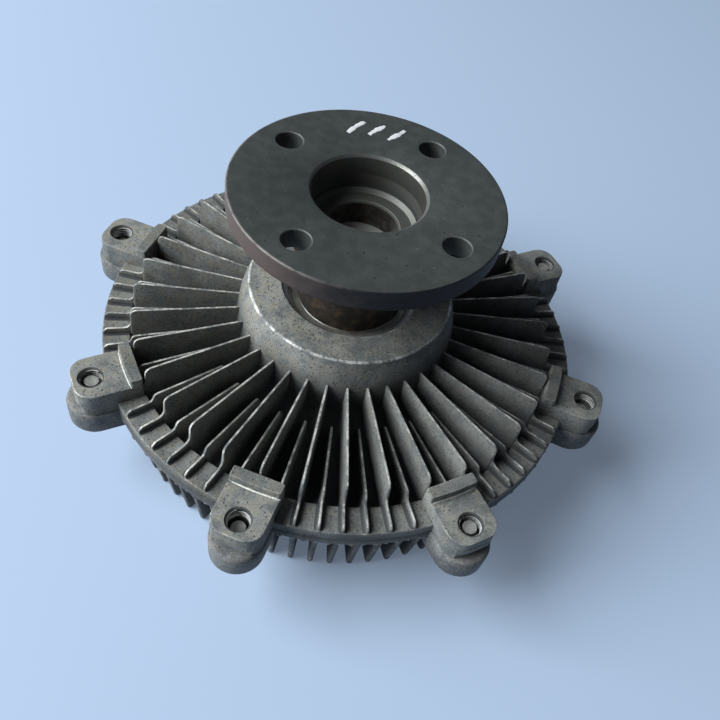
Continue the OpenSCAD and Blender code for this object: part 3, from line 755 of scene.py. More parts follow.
@dataclass(frozen=True)
class ForgedSteel:
    """Drive hub: dark scaled flange, side brown towards -x and black towards +x, near-black neck darkened as painted
    shade, and a turned bore with pale rings of bare metal and painted highlight and a bottom painted as lit. Sizes in
    millimetres.
    """

    name: str
    scale: Triple = (0.053, 0.059, 0.056)
    scale_pale: Triple = (0.072, 0.079, 0.075)
    black: Triple = (0.018, 0.019, 0.021)
    olive: Triple = (0.075, 0.072, 0.060)
    # Near-black brown for the neck under the flange and deep in the core: rust darkened as painted shade.
    rust: Triple = (0.120, 0.090, 0.078)
    dark_rust_and_shade: Triple = (0.030, 0.024, 0.020)
    dirt: Triple = (0.100, 0.070, 0.044)
    bright: Triple = (0.36, 0.355, 0.33)
    gloss: float = 0.25
    pilot_r: float = 17.5
    flange_r: float = 42.5
    top: float = 95.0
    under: float = 88.0
    step_low: float = 82.0
    core_low: float = 73.0
    bore_end: float = 70.0

    def make(self) -> Finish:
        """Build the material."""
        s = Surface(self.name)
        broad, fine, blot = s.noise(16.0), s.noise(0.9, 4.0, 0.6), s.noise(4.0, 5.0, 0.6)
        specks = s.both(s.step(s.grains(2.6), 0.10, 0.04), s.step(broad, 0.45, 0.60))
        pits = s.both(s.step(s.grains(3.6), 0.17, 0.09), s.step(blot, 0.50, 0.58))
        face = s.layered(
            s.mix(s.step(blot, 0.35, 0.68), self.scale, self.scale_pale),
            (specks, 0.4, self.bright), (pits, 0.7, self.black))
        # The flange's side runs from rust brown towards -x to black towards +x.
        rusty = s.plus(s.span(s.x, 36.0, -36.0), s.swing(blot, 0.6))
        side = s.mix(s.step(rusty, 0.10, 0.95), self.black, self.rust)
        outer = s.span(s.radius, self.flange_r - 0.55, self.flange_r - 0.25)
        low = s.span(s.z, self.under + 0.3, self.under - 0.3)
        # The neck under the flange is near-black brown with tan dirt patches, its darkness painted shade.
        neck = s.mix(s.step(blot, 0.42, 0.70), self.dark_rust_and_shade, self.dirt)
        inside = s.both(s.span(s.radius, self.pilot_r + 1.05, self.pilot_r + 0.85),
                        s.span(s.z, self.bore_end, self.bore_end + 1.0))
        depth = s.span(s.z, self.top - 9.0, self.top - 13.5)
        # Deep in the core the wall turns near-black brown in blotches, rust darkened as painted shade.
        core = s.both(s.span(s.z, self.step_low - 0.4, self.step_low - 1.0), s.step(blot, 0.30, 0.60))
        # Inside the bore: olive wall, dark rust deep in the core, dirt and painted shade in its corners, and the bottom
        # of the core drawn pale as painted light.
        bored = s.layered(
            s.mix(s.step(blot, 0.30, 0.70), self.olive, self.scale_pale),
            (core, 1.0, self.dark_rust_and_shade), (s.trait("grime_and_shade"), 0.75, self.black),
            (s.span(s.z, self.core_low + 0.6, self.core_low + 0.1), 1.0, self.bright))
        rim = s.span(s.radius, self.flange_r - 2.0, self.flange_r - 1.0)
        # Pale bare metal shows on the flange's rim more towards -x and inside the bore more towards +x, the sides that
        # face the window lamp: partly wear, partly painted highlight.
        rubbed_and_lit = s.between(rim, 0.5, s.both(s.span(s.x, 16.0, -22.0), s.step(blot, 0.28, 0.55), 0.7))
        rubbed_and_lit = s.between(inside, rubbed_and_lit, s.between(s.span(s.x, -14.0, 10.0), 0.05, 0.5))
        worn_and_highlit = s.both(s.step(s.trait("wear_and_highlight"), 0.25, 0.8), rubbed_and_lit)
        colour = s.layered(face, (outer, 1.0, side), (low, 1.0, neck), (inside, 1.0, bored), (worn_and_highlit, 1.0, self.bright))
        rough = s.between(inside, s.between(fine, 0.50, 0.68), s.between(depth, 0.40, 0.60))
        rough = s.between(worn_and_highlit, s.between(low, rough, 0.82), 0.36)
        metal = s.between(low, s.between(inside, s.between(outer, 0.35, 0.30), 0.5), 0.15)
        height = s.math("SUBTRACT", s.plus(fine, s.both(blot, 0.8)), s.both(pits, 0.9))
        height = s.plus(height, s.both(s.rings(0.35), inside, 0.4))
        return s.done(colour, rough, s.between(worn_and_highlit, metal, 0.5), s.relief(height, 0.12, 0.6), self.gloss)


@dataclass(frozen=True)
class TurnedMetal:
    """Machined metal with fine turning rings and a few stains."""

    name: str
    colour: Triple
    stain: Triple
    rough: float = 0.32
    metal: float = 0.95
    stained: float = 0.5

    def make(self) -> Finish:
        """Build the material."""
        s = Surface(self.name)
        blot, fine = s.noise(4.5, 5.0, 0.6), s.noise(0.8, 3.0)
        colour = s.layered(self.colour, (s.step(blot, 0.42, 0.72), self.stained, self.stain))
        height = s.plus(s.rings(0.25), s.both(fine, 0.6))
        return s.done(colour, s.between(blot, self.rough, self.rough + 0.22), self.metal, s.relief(height, 0.05))


@dataclass(frozen=True)
class OldScrew:
    """Plated steel fastener, dulled and rusting in spots, and blackened where its points carry dirt and painted shade.
    """

    name: str
    plate: Triple = (0.42, 0.42, 0.38)
    dull: Triple = (0.24, 0.235, 0.21)
    rust: Triple = (0.20, 0.105, 0.060)
    black: Triple = (0.020, 0.020, 0.020)

    def make(self) -> Finish:
        """Build the material."""
        s = Surface(self.name)
        blot, fine = s.noise(2.2, 5.0, 0.62), s.noise(0.6, 3.0)
        rusty = s.step(s.plus(blot, s.both(fine, 0.3)), 0.76, 0.92)
        # Black where the points carry dirt and painted shade, as on the screw's end chamfer.
        colour = s.layered(s.mix(s.step(blot, 0.35, 0.65), self.dull, self.plate),
                           (rusty, 0.8, self.rust), (s.trait("grime_and_shade"), 0.85, self.black))
        rough = s.between(rusty, s.between(fine, 0.34, 0.52), 0.85)
        return s.done(colour, rough, s.between(rusty, 0.45, 0.1), s.relief(s.plus(fine, blot), 0.06))


@dataclass(frozen=True)
class Mottled:
    """Plain stuff with soft blotches of a second colour. Sizes in millimetres."""

    name: str
    colour: Triple
    blotch: Triple
    blot_size: float
    blot_mask: Point
    grain: float
    rough: Point
    metal: float = 0.0
    ragged: float = 0.55
    depth: float = 0.03
    strength: float = 0.5

    def make(self) -> Finish:
        """Build the material."""
        s = Surface(self.name)
        blot, fine = s.noise(self.blot_size, rough=self.ragged), s.noise(self.grain, 3.0)
        colour = s.mix(s.step(blot, *self.blot_mask), self.colour, self.blotch)
        return s.done(colour, s.between(fine, *self.rough), self.metal, s.relief(fine, self.depth, self.strength))


class Workshop:
    """What every sub-assembly builds with: the finishes by name, and the trees that repeat shapes and wind threads."""

    def __init__(self) -> None:
        """Build each material and each tree once."""
        looks = (
            CastAlloy("housing_casting", pale=(0.328, 0.336, 0.320), dark=(0.150, 0.159, 0.154)),
            CastAlloy("cover_casting", pale=(0.235, 0.240, 0.240), dark=(0.110, 0.116, 0.118), dust_share=0.25),
            ForgedSteel("hub_steel"),
            TurnedMetal("rotor_alloy", (0.60, 0.60, 0.60), (0.36, 0.35, 0.33)),
            TurnedMetal("bearing_steel", (0.42, 0.41, 0.40), (0.10, 0.085, 0.07), 0.28, 0.95, 0.8),
            TurnedMetal("cage_brass", (0.55, 0.40, 0.17), (0.30, 0.20, 0.09), 0.34),
            TurnedMetal("seal_steel", (0.36, 0.35, 0.32), (0.15, 0.13, 0.10), 0.42, 0.75, 0.7),
            TurnedMetal("plate_steel", (0.46, 0.46, 0.45), (0.28, 0.27, 0.25), 0.36),
            TurnedMetal("shaft_steel", (0.48, 0.47, 0.45), (0.22, 0.20, 0.17), 0.30),
            OldScrew("screw_steel"),
            Mottled("rubber", (0.018, 0.018, 0.019), (0.050, 0.047, 0.042), 3.0, (0.40, 0.70), 0.35, (0.62, 0.80)),
            Mottled("coil_strip", (0.36, 0.29, 0.19), (0.17, 0.12, 0.085), 6.0, (0.36, 0.66), 0.7, (0.34, 0.50),
                    metal=0.85, strength=0.4),
            Mottled("paint_pen", (0.80, 0.82, 0.83), (0.45, 0.46, 0.46), 1.6, (0.50, 0.76), 0.5, (0.45, 0.62),
                    ragged=0.65, depth=0.04),
        )
        self.finish: dict[str, Finish] = {look.name: look.make() for look in looks}
        self.ring, self.thread = RingOf(), ThreadOf()

    def dress(self, obj: Piece, slot: str) -> Piece:
        """Give an object one finish and name its slot.

        Args:
            obj: the object.
            slot: the record's material slot.

        Returns:
            The same object.
        """
        obj.data.materials.clear()
        obj.data.materials.append(self.finish[slot])
        return obj

    def hand_in(self, obj: Piece, body: Body, slot: str, *nodes: str) -> None:
        """Dress a finished piece, set it on its body and let it stand for its nodes.

        Args:
            obj: the finished piece.
            body: the body that carries it.
            slot: its material slot.
            nodes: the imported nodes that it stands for.
        """
        self.dress(obj, slot)
        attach(obj, body.value)
        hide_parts(*nodes)
        LOG.info("%s: %d faces on %s", obj.name, len(obj.data.polygons), body.value)


@dataclass
class Assembly:
    """A sub-assembly and the workshop that it is built with. Sizes in millimetres."""

    shop: Workshop


@dataclass
class LugRow(Assembly):
    """The eight lugs of the two castings, with their tapped holes and screws."""

    count: int = 8
    circle_r: float = 87.5
    inner_r: float = 73.3
    outer_r: float = 93.3
    half_w: float = 8.2
    corner_r: float = 5.5
    undercut: Point = (92.3, 35.2)
    scored: Point = (93.0, 38.2)
    score_w: float = 0.6
    pad: float = 41.2
    step_top: float = 44.0
    step_r: float = 77.5
    relief_w: float = 0.45
    hole_r: float = 3.5
    mouth_r: float = 4.0
    spot_r: float = 4.5
    cover_bottom: float = 23.0
    cover_end_r: float = 8.6
    cover_hole_r: float = 3.3
    cup_r: float = 71.0
    screw_ends: Point = (36.5, 39.4)
    head_seat: float = 21.5
    head_h: float = 2.6
    head_flats: float = 10.0
    screw_r: float = 3.0
    pitch: float = 1.0

    def hole(self, radius: float, mouth: float, low: float, high: float) -> Piece:
        """Cutter for a lug's hole with a flared mouth and a skimmed ring round it at its upper end.

        Args:
            radius: radius of the hole.
            mouth: radius of the mouth.
            low: height of its lower end.
            high: height of its upper end.

        Returns:
            The cutter.
        """
        flare, skim = mouth - radius, 0.03
        # The hole's wall and flared mouth are darkened as painted shade, most at the bottom.
        return turned("lug_hole_cutter", corners(
            (0.0, low - 1.0), (radius, low - 1.0, 0.0, 0.0, 1.0), (radius, high - flare, 0.0, 0.0, 0.9),
            (mouth, high - 0.2, 0.0, 0.0, 0.7), (mouth + 0.12, high - skim, 0.0, 0.3),
            (self.spot_r, high - skim), (self.spot_r, high + 1.0), (0.0, high + 1.0)), 40, (self.circle_r, 0.0))

    def upper(self) -> Piece:
        """One lug of the rear housing.

        Returns:
            The lug along +X.
        """
        wide, pad, top, far = self.half_w, self.pad, self.step_top, self.outer_r + 2.0
        outline = rounded(corners(
            (self.inner_r, -wide, 0.8), (self.outer_r, -wide, self.corner_r),
            (self.outer_r, wide, self.corner_r), (self.inner_r, wide, 0.8)), steps=7)
        lug = stacked("housing_lug", outline, [
            (JOINT, 0.25, 0.2, 0.5), (JOINT + 0.3, -0.05, 0.0, 0.5), (JOINT + 3.0, -0.05, 0.0, 0.4),
            (pad - 0.7, 0.03, 0.0, 0.25), (pad - 0.3, 0.05, 0.2, 0.0), (pad - 0.08, 0.13, 0.55, 0.0),
            (pad, 0.33, 0.4, 0.0), (pad, 0.55, 0.0, 0.0)])
        side, near = wide - 0.1, self.inner_r + 0.1
        face = [Corner(math.sqrt(self.step_r ** 2 - y * y), y) for y in (blend(-side, side, k / 8) for k in range(9))]
        ridge = rounded([Corner(near, -side, 0.7), Corner(face[0].x, -side, 0.7), *face[1:-1],
                         Corner(face[-1].x, side, 0.7), Corner(near, side, 0.7)], steps=4)
        lug = carved(lug, stacked("lug_step", ridge, [
            (JOINT + 2.0, 0.0, 0.0, 0.5), (pad - 0.6, 0.0, 0.0, 0.6), (top - 0.6, 0.03, 0.0, 0.1),
            (top - 0.3, 0.05, 0.0, 0.1), (top - 0.08, 0.13, 0.35, 0.1), (top, 0.32, 0.25, 0.1),
            (top, 0.5, 0.0, 0.4)]), Cut.JOIN)
        groove = self.step_r - 0.02, self.step_r + self.relief_w
        lug = carved(lug, turned("relief_cutter", corners(
            (groove[0], pad - 0.25, 0.0, 0.9), (groove[1], pad - 0.2, 0.0, 0.9),
            (groove[1], pad + 1.0), (groove[0], pad + 1.0)), 360), Cut.TAKE)
        # The cut-back faces under a lug's end are darkened as painted shade under the lip, with some dirt.
        for (near, high), low in ((self.undercut, JOINT - 1.0), (self.scored, self.scored[1] - self.score_w)):
            lug = carved(lug, turned("end_cutter", corners(
                (near, low, 0.0, 0.0, 0.2), (far, low), (far, high), (near, high, 0.0, 0.0, 0.5)), 360), Cut.TAKE)
        return carved(lug, self.hole(self.hole_r, self.mouth_r, JOINT, pad), Cut.TAKE)

    def lower(self) -> Piece:
        """One lug of the front cover.

        Returns:
            The lug along +X.
        """
        low, size = self.cover_bottom, self.cover_end_r
        bend = [Corner(self.circle_r + size * math.cos(a), size * math.sin(a))
                for a in (blend(-0.5 * math.pi, 0.5 * math.pi, k / 20) for k in range(21))]
        lug = stacked("cover_lug", [Corner(self.cup_r, -size), *bend, Corner(self.cup_r, size)], [
            (low, 1.4, 0.0, 0.2), (low, 0.9, 0.5, 0.2), (low + 0.2, 0.45, 0.6, 0.2), (low + 0.8, 0.15, 0.0, 0.3),
            (JOINT - 1.4, 0.0, 0.0, 0.2), (JOINT - 0.6, 0.2, 0.0, 0.2), (JOINT - 0.15, 0.6, 0.0, 0.25),
            (JOINT, 1.2, 0.0, 0.2), (JOINT, 2.2, 0.0, 0.3)])
        return carved(lug, self.hole(self.cover_hole_r, self.cover_hole_r, low, JOINT), Cut.TAKE)

    def screw(self, end: float) -> list[Piece]:
        """One hexagon screw with its thread.

        Args:
            end: height of the screw's end.

        Returns:
            The screw's shells along +X.
        """
        seat, low, size = self.head_seat, self.head_seat - self.head_h, self.head_flats / 2.0
        peak, core, at = size / math.cos(math.pi / 6.0), self.screw_r - 0.28, (self.circle_r, 0.0)
        hexagon = [Corner(self.circle_r + peak * math.cos(a), peak * math.sin(a))
                   for a in (math.pi * k / 3.0 for k in range(6))]
        head = stacked("screw_head", hexagon, [
            (low - 0.2, 0.0, 0.0, 0.0), (seat - 0.3, 0.0, 0.0, 0.0), (seat, 0.25, 0.0, 0.0)])
        crown = turned("screw_crown", corners(
            (0.0, low), (size - 0.25, low), (peak + 0.6, low + 0.75), (peak + 0.6, seat + 1.0),
            (0.0, seat + 1.0)), 48, at)
        # The end chamfer of the shank is marked for painted shade, so it shows as a dark ring round the pale end.
        shank = turned("screw_shank", corners(
            (0.0, seat - 0.5), (core, seat - 0.5), (core, end - 1.6, 0.0, 0.0, 1.0),
            (self.screw_r - 0.75, end - 0.15, 0.0, 0.0, 1.0), (self.screw_r - 0.85, end), (0.0, end - 0.1)), 40, at)
        ridge = self.shop.thread.wind("screw_thread", self.shop.finish["screw_steel"], self.screw_r - 0.36, 0.34,
                                      self.pitch, 12.0, (*at, end - 14.0))
        return [carved(head, crown, Cut.KEEP), shank, ridge]

    def tapping(self) -> Piece:
        """The thread that shows in a lug's hole above the screw."""
        return self.shop.thread.wind("lug_thread", self.shop.finish["housing_casting"], self.hole_r - 0.03, 0.27,
                                     self.pitch, 3.4, (self.circle_r, 0.0, self.screw_ends[0] + 0.5))

    def build(self) -> None:
        """Make the screws, every second one longer, and set them on the housing."""
        steel = self.shop.finish["screw_steel"]
        rows = [self.shop.ring.repeat(joined("one_screw", self.screw(end)), steel, self.count // 2,
                                      k * 360.0 / self.count) for k, end in enumerate(self.screw_ends)]
        self.shop.hand_in(joined("lug_screws", rows), Body.HOUSING, "screw_steel", "cover_screws")


@dataclass
class RearHousing(Assembly):
    """Finned rear casting with its collar, rim and lugs."""

    lugs: LugRow
    fins: int = 36
    collar_top: float = 56.0
    collar_r: float = 34.4
    collar_base_r: float = 37.0
    collar_bend: Point = (47.6, 50.0)
    lip_r: float = 20.8
    seat_r: float = 23.52
    rolled_r: float = 23.12
    bearing_low: float = 37.0
    bearing_top: float = 52.3
    floor_in: Point = (38.5, 37.5)
    floor_out: Point = (70.2, 33.0)
    ledge_r: float = 73.2
    ledge: float = 35.9
    ceiling: float = 27.2
    recess: float = 33.5
    recess_r: Point = (33.0, 37.0)
    spigot_r: float = 68.0
    groove: Point = (28.55, 30.85)
    groove_r: float = 65.9
    fin_start: Point = (34.9, 46.5)
    fin_corner: Point = (72.55, 46.3)
    fin_corner_r: float = 2.2
    fin_foot: Point = (72.95, 38.2)
    fin_foot_r: float = 2.4
    low_fin: float = 41.0
    low_start: Point = (44.7, 32.6)
    low_in_r: float = 48.5
    low_corner_r: float = 72.3
    low_foot_r: float = 73.6
    rib: float = 38.2
    rib_end_r: float = 80.5
    root_t: float = 2.4
    top_t: float = 0.75
    base: float = 32.6
    land_t: float = 1.9
    land_h: float = 5.0
    land_first: float = 63.6
    land_pitch: float = 5.0
    lands: int = 5
    steps: int = 288

    def section(self) -> list[Corner]:
        """Turned section of the casting.

        Returns:
            Its outline.
        """
        # Corners low between the fins, at the bearing's seat and along the ledge are darkened as dirt and painted
        # shade.
        return rounded(corners(
            (self.lip_r, self.recess, 0.3), (self.lip_r, self.bearing_low, 0.2), (self.seat_r, self.bearing_low),
            (self.seat_r, self.bearing_top), (self.rolled_r, self.bearing_top, 0.15, 0.0, 1.0),
            (self.rolled_r, self.collar_top - 0.6, 0.2, 0.0, 1.0),
            (self.rolled_r + 0.6, self.collar_top, 0.2, 0.5, 0.1), (self.collar_r, self.collar_top, 0.7, 0.6, 0.05),
            (self.collar_base_r - 0.6, self.collar_bend[1], 0.0, 0.0, 0.30),
            (self.collar_base_r, self.collar_bend[0], 1.0, 0.0, 0.45),
            (*self.floor_in, 2.2, 0.0, 1.0), (*self.floor_out, 2.0, 0.0, 1.0),
            (self.ledge_r, self.floor_out[1], 0.8, 0.0, 1.0), (self.ledge_r, self.ledge, 0.4, 0.2, 0.35),
            (RIM_R, self.ledge, 0.35, 0.4, 0.4), (RIM_R, JOINT, 0.3, 0.0, 0.6),
            (self.spigot_r, JOINT), (self.spigot_r, self.groove[1]), (self.groove_r, self.groove[1]),
            (self.groove_r, self.groove[0]), (self.spigot_r, self.groove[0]), (self.spigot_r, self.ceiling, 0.5),
            (self.recess_r[1], self.ceiling), (self.recess_r[0], self.recess, 0.6)))

    def floor(self, r: float, z: float) -> Point:
        """Point of the casting's upper surface under a point of a fin."""
        return r, self.ledge if r > self.ledge_r else slope(r, self.floor_in, self.floor_out)

    def inside(self, r: float, z: float) -> Point:
        """Point inside the casting under a point of a fin."""
        return r, self.base

    def fin(self, tall: bool) -> Piece:
        """One fin with the rib that runs on over the ledge.

        Args:
            tall: whether it is a tall fin or a low one.

        Returns:
            The fin along +X.
        """
        if tall:
            top = self.fin_start[1]
            inner = corners((*self.fin_start, 0.0, 0.50), (*self.fin_corner, self.fin_corner_r, 0.58),
                            (*self.fin_foot, self.fin_foot_r, 0.50, 0.1))
        else:
            top = self.low_fin
            inner = corners((*self.low_start, 0.0, 0.0, 1.0), (self.low_in_r, top, 1.2, 0.4),
                            (self.low_corner_r, top, 1.4, 0.55), (self.low_foot_r, self.rib, 1.4, 0.5, 0.1))
        run = corners((self.rib_end_r, self.rib, 0.8, 0.58), (RIM_R - 0.4, self.rib - 1.1, 0.4, 0.45),
                      (RIM_R - 0.25, self.ledge - 0.4, 0.0, 0.3, 0.3))
        crest = divided(rounded(inner + run, closed=False, steps=5, guard=0.0), 5.0)
        d = Draft()
        d.blade(crest, self.floor, self.inside, self.top_t, (self.root_t - self.top_t) / (top - JOINT), 0.5, 0.9)
        return d.piece("tall_fin" if tall else "low_fin")

    def build(self) -> None:
        """Make the casting and its threads and set them on the housing."""
        alloy, ring = self.shop.finish["housing_casting"], self.shop.ring
        d = Draft()
        d.lathe(self.section(), self.steps)
        low, high = self.ceiling - self.land_h, self.ceiling + 0.5
        for i in range(self.lands):
            near = self.land_first - i * self.land_pitch
            far = near + self.land_t
            d.lathe(corners((near, low), (far, low), (far, high), (near, high)), self.steps // 2)
        shells = [d.piece("housing_turned"),
                  ring.repeat(self.fin(True), alloy, self.fins, 0.0, 0.10, 3),
                  ring.repeat(self.fin(False), alloy, self.fins, 180.0 / self.fins, 0.10, 4),
                  ring.repeat(self.lugs.upper(), alloy, self.lugs.count),
                  ring.repeat(self.lugs.tapping(), alloy, self.lugs.count)]
        self.shop.hand_in(joined("rear_housing_cast", shells), Body.HOUSING, "housing_casting", "rear_housing")


@dataclass
class FrontCover(Assembly):
    """Front casting with its cup, dome, fins, lugs and coil post."""

    lugs: LugRow
    long_fins: int = 36
    flange: float = 29.0
    cup_r: float = 71.5
    bore_r: float = 68.1
    ring: float = 12.2
    dome: float = 6.7
    dome_r: float = 44.0
    dome_foot_r: float = 48.0
    chamber: float = 16.2
    plate: float = 14.7
    plate_seat_r: float = 48.6
    store: float = 10.7
    store_r: float = 43.0
    boss_r: float = 9.0
    boss_low: float = 5.7
    boss_high: float = 12.4
    stem_bore_r: float = 4.1
    tip_r: float = 75.0
    tip_round: float = 1.3
    nub_r: float = 79.6
    nub: float = 27.4
    rim_from: Point = (80.0, 27.0)
    rim_seat_r: float = 72.5
    side_from: float = 14.0
    face_r: float = 68.5
    long_in_r: float = 33.0
    short_in_r: float = 53.0
    tip_t: float = 1.9
    bead_h: float = 1.3
    post: Point = (25.25, 30.25)
    post_half_w: float = 3.0
    slot_half_w: float = 0.75
    coil_low: float = 0.4
    slot_top: float = 4.8
    steps: int = 288

    def section(self) -> list[Corner]:
        """Turned section of the casting.

        Returns:
            Its outline.
        """
        # Corners of the cup, dome and boss are darkened as dirt and painted shade.
        return rounded(corners(
            (self.bore_r, JOINT), (RIM_R, JOINT, 0.3, 0.0, 0.6), (RIM_R, self.flange, 0.6, 0.3, 0.4),
            (self.cup_r, self.flange, 1.5, 0.0, 0.8), (self.cup_r, self.ring, 3.0, 0.0, 0.5),
            (self.dome_foot_r, self.ring, 1.0, 0.0, 0.8), (self.dome_r, self.dome, 1.2, 0.4, 0.2),
            (self.boss_r, self.dome, 0.8, 0.0, 0.6), (self.boss_r, self.boss_low, 0.5, 0.7, 0.1),
            (self.stem_bore_r, self.boss_low, 0.3), (self.stem_bore_r, self.boss_high),
            (self.boss_r, self.boss_high, 0.5), (self.boss_r, self.store, 0.5), (self.store_r, self.store, 0.5),
            (self.store_r, self.plate), (self.plate_seat_r, self.plate), (self.plate_seat_r, self.chamber),
            (self.bore_r, self.chamber, 0.5)))

    def wall(self, r: float, z: float) -> Point:
        """Point of the casting's outer surface that belongs to a point of a fin's edge."""
        if z > self.rim_from[1]:
            return min(r, RIM_R) if r > self.rim_from[0] else self.rim_seat_r, self.flange
        if z > self.side_from:
            return self.cup_r, z
        near = min(r, self.face_r)
        return near, slope(near, (self.dome_r, self.dome), (self.dome_foot_r, self.ring))

    def inside(self, r: float, z: float) -> Point:
        """Point inside the casting that belongs to a point of a fin's edge."""
        x, y = self.wall(r, z)
        return (x - 1.0, y) if self.side_from < z <= self.rim_from[1] else (x, y + 0.7)

    def fin(self, long: bool) -> Piece:
        """One fin, from its inner end over its foot to the nub under the rim.

        Args:
            long: whether it is a long fin or a short one.

        Returns:
            The fin along +X.
        """
        near, high, lean = (self.long_in_r, self.dome, 3.35) if long else (self.short_in_r, self.ring, 6.1)
        line = corners(
            (near, high + 0.3, 0.0, 0.0, 0.6), (near + lean, 0.0, 1.0, 0.4), (self.tip_r, 0.0, self.tip_round, 0.5),
            (self.nub_r, self.nub, 0.6, 0.1, 0.3), (RIM_R - 0.6, self.nub, 0.4, 0.7, 0.2),
            (RIM_R - 0.6, self.flange + 0.4, 0.0, 0.0, 0.4))
        d = Draft()
        d.blade(divided(rounded(line, closed=False, steps=4, guard=0.0), 5.5), self.wall, self.inside, self.tip_t,
                0.06, 0.3, 0.8)
        return d.piece("long_fin" if long else "short_fin")

    def bead(self) -> Piece:
        """One small cast bead under the rim, between two fins.

        Returns:
            The bead along +X.
        """
        low, size, top = self.flange - self.bead_h, self.bead_h, self.flange + 0.5
        return turned("rim_bead", corners(
            (0.0, low), (0.5 * size, low + 0.15 * size), (0.85 * size, low + 0.5 * size), (size, low + size),
            (size, top), (0.0, top)), 12, (RIM_R + 0.2 - size, 0.0))

    def coil_post(self) -> Piece:
        """Slotted post that holds the coil's outer end.

        Returns:
            The post.
        """
        (a, b), w, s = self.post, self.post_half_w, self.slot_half_w
        post = stacked("coil_post", rounded(corners((a, -w, 0.6), (b, -w, 0.6), (b, w, 0.6), (a, w, 0.6))), [
            (self.coil_low, 0.4, 0.6, 0.0), (self.coil_low + 0.4, 0.0, 0.2, 0.1), (self.dome, 0.0, 0.0, 0.7),
            (self.dome + 0.5, 0.0, 0.0, 0.7)])
        slot = stacked("post_slot", corners((a - 1.0, -s), (b + 1.0, -s), (b + 1.0, s), (a - 1.0, s)), [
            (-1.0, 0.0, 0.0, 0.0), (self.slot_top, 0.0, 0.0, 0.3)])
        return carved(post, slot, Cut.TAKE)

    def build(self) -> None:
        """Make the casting and set it on the housing."""
        alloy, ring = self.shop.finish["cover_casting"], self.shop.ring
        half_pitch = 180.0 / self.long_fins
        shells = [turned("cover_turned", self.section(), self.steps),
                  ring.repeat(self.fin(True), alloy, self.long_fins, 0.0, 0.08, 5),
                  ring.repeat(self.fin(False), alloy, self.long_fins, half_pitch, 0.08, 6),
                  ring.repeat(self.bead(), alloy, 2 * self.long_fins, half_pitch / 2.0, 0.3, 7),
                  ring.repeat(self.lugs.lower(), alloy, self.lugs.count), self.coil_post()]
        self.shop.hand_in(joined("front_cover_cast", shells), Body.HOUSING, "cover_casting", "front_cover")


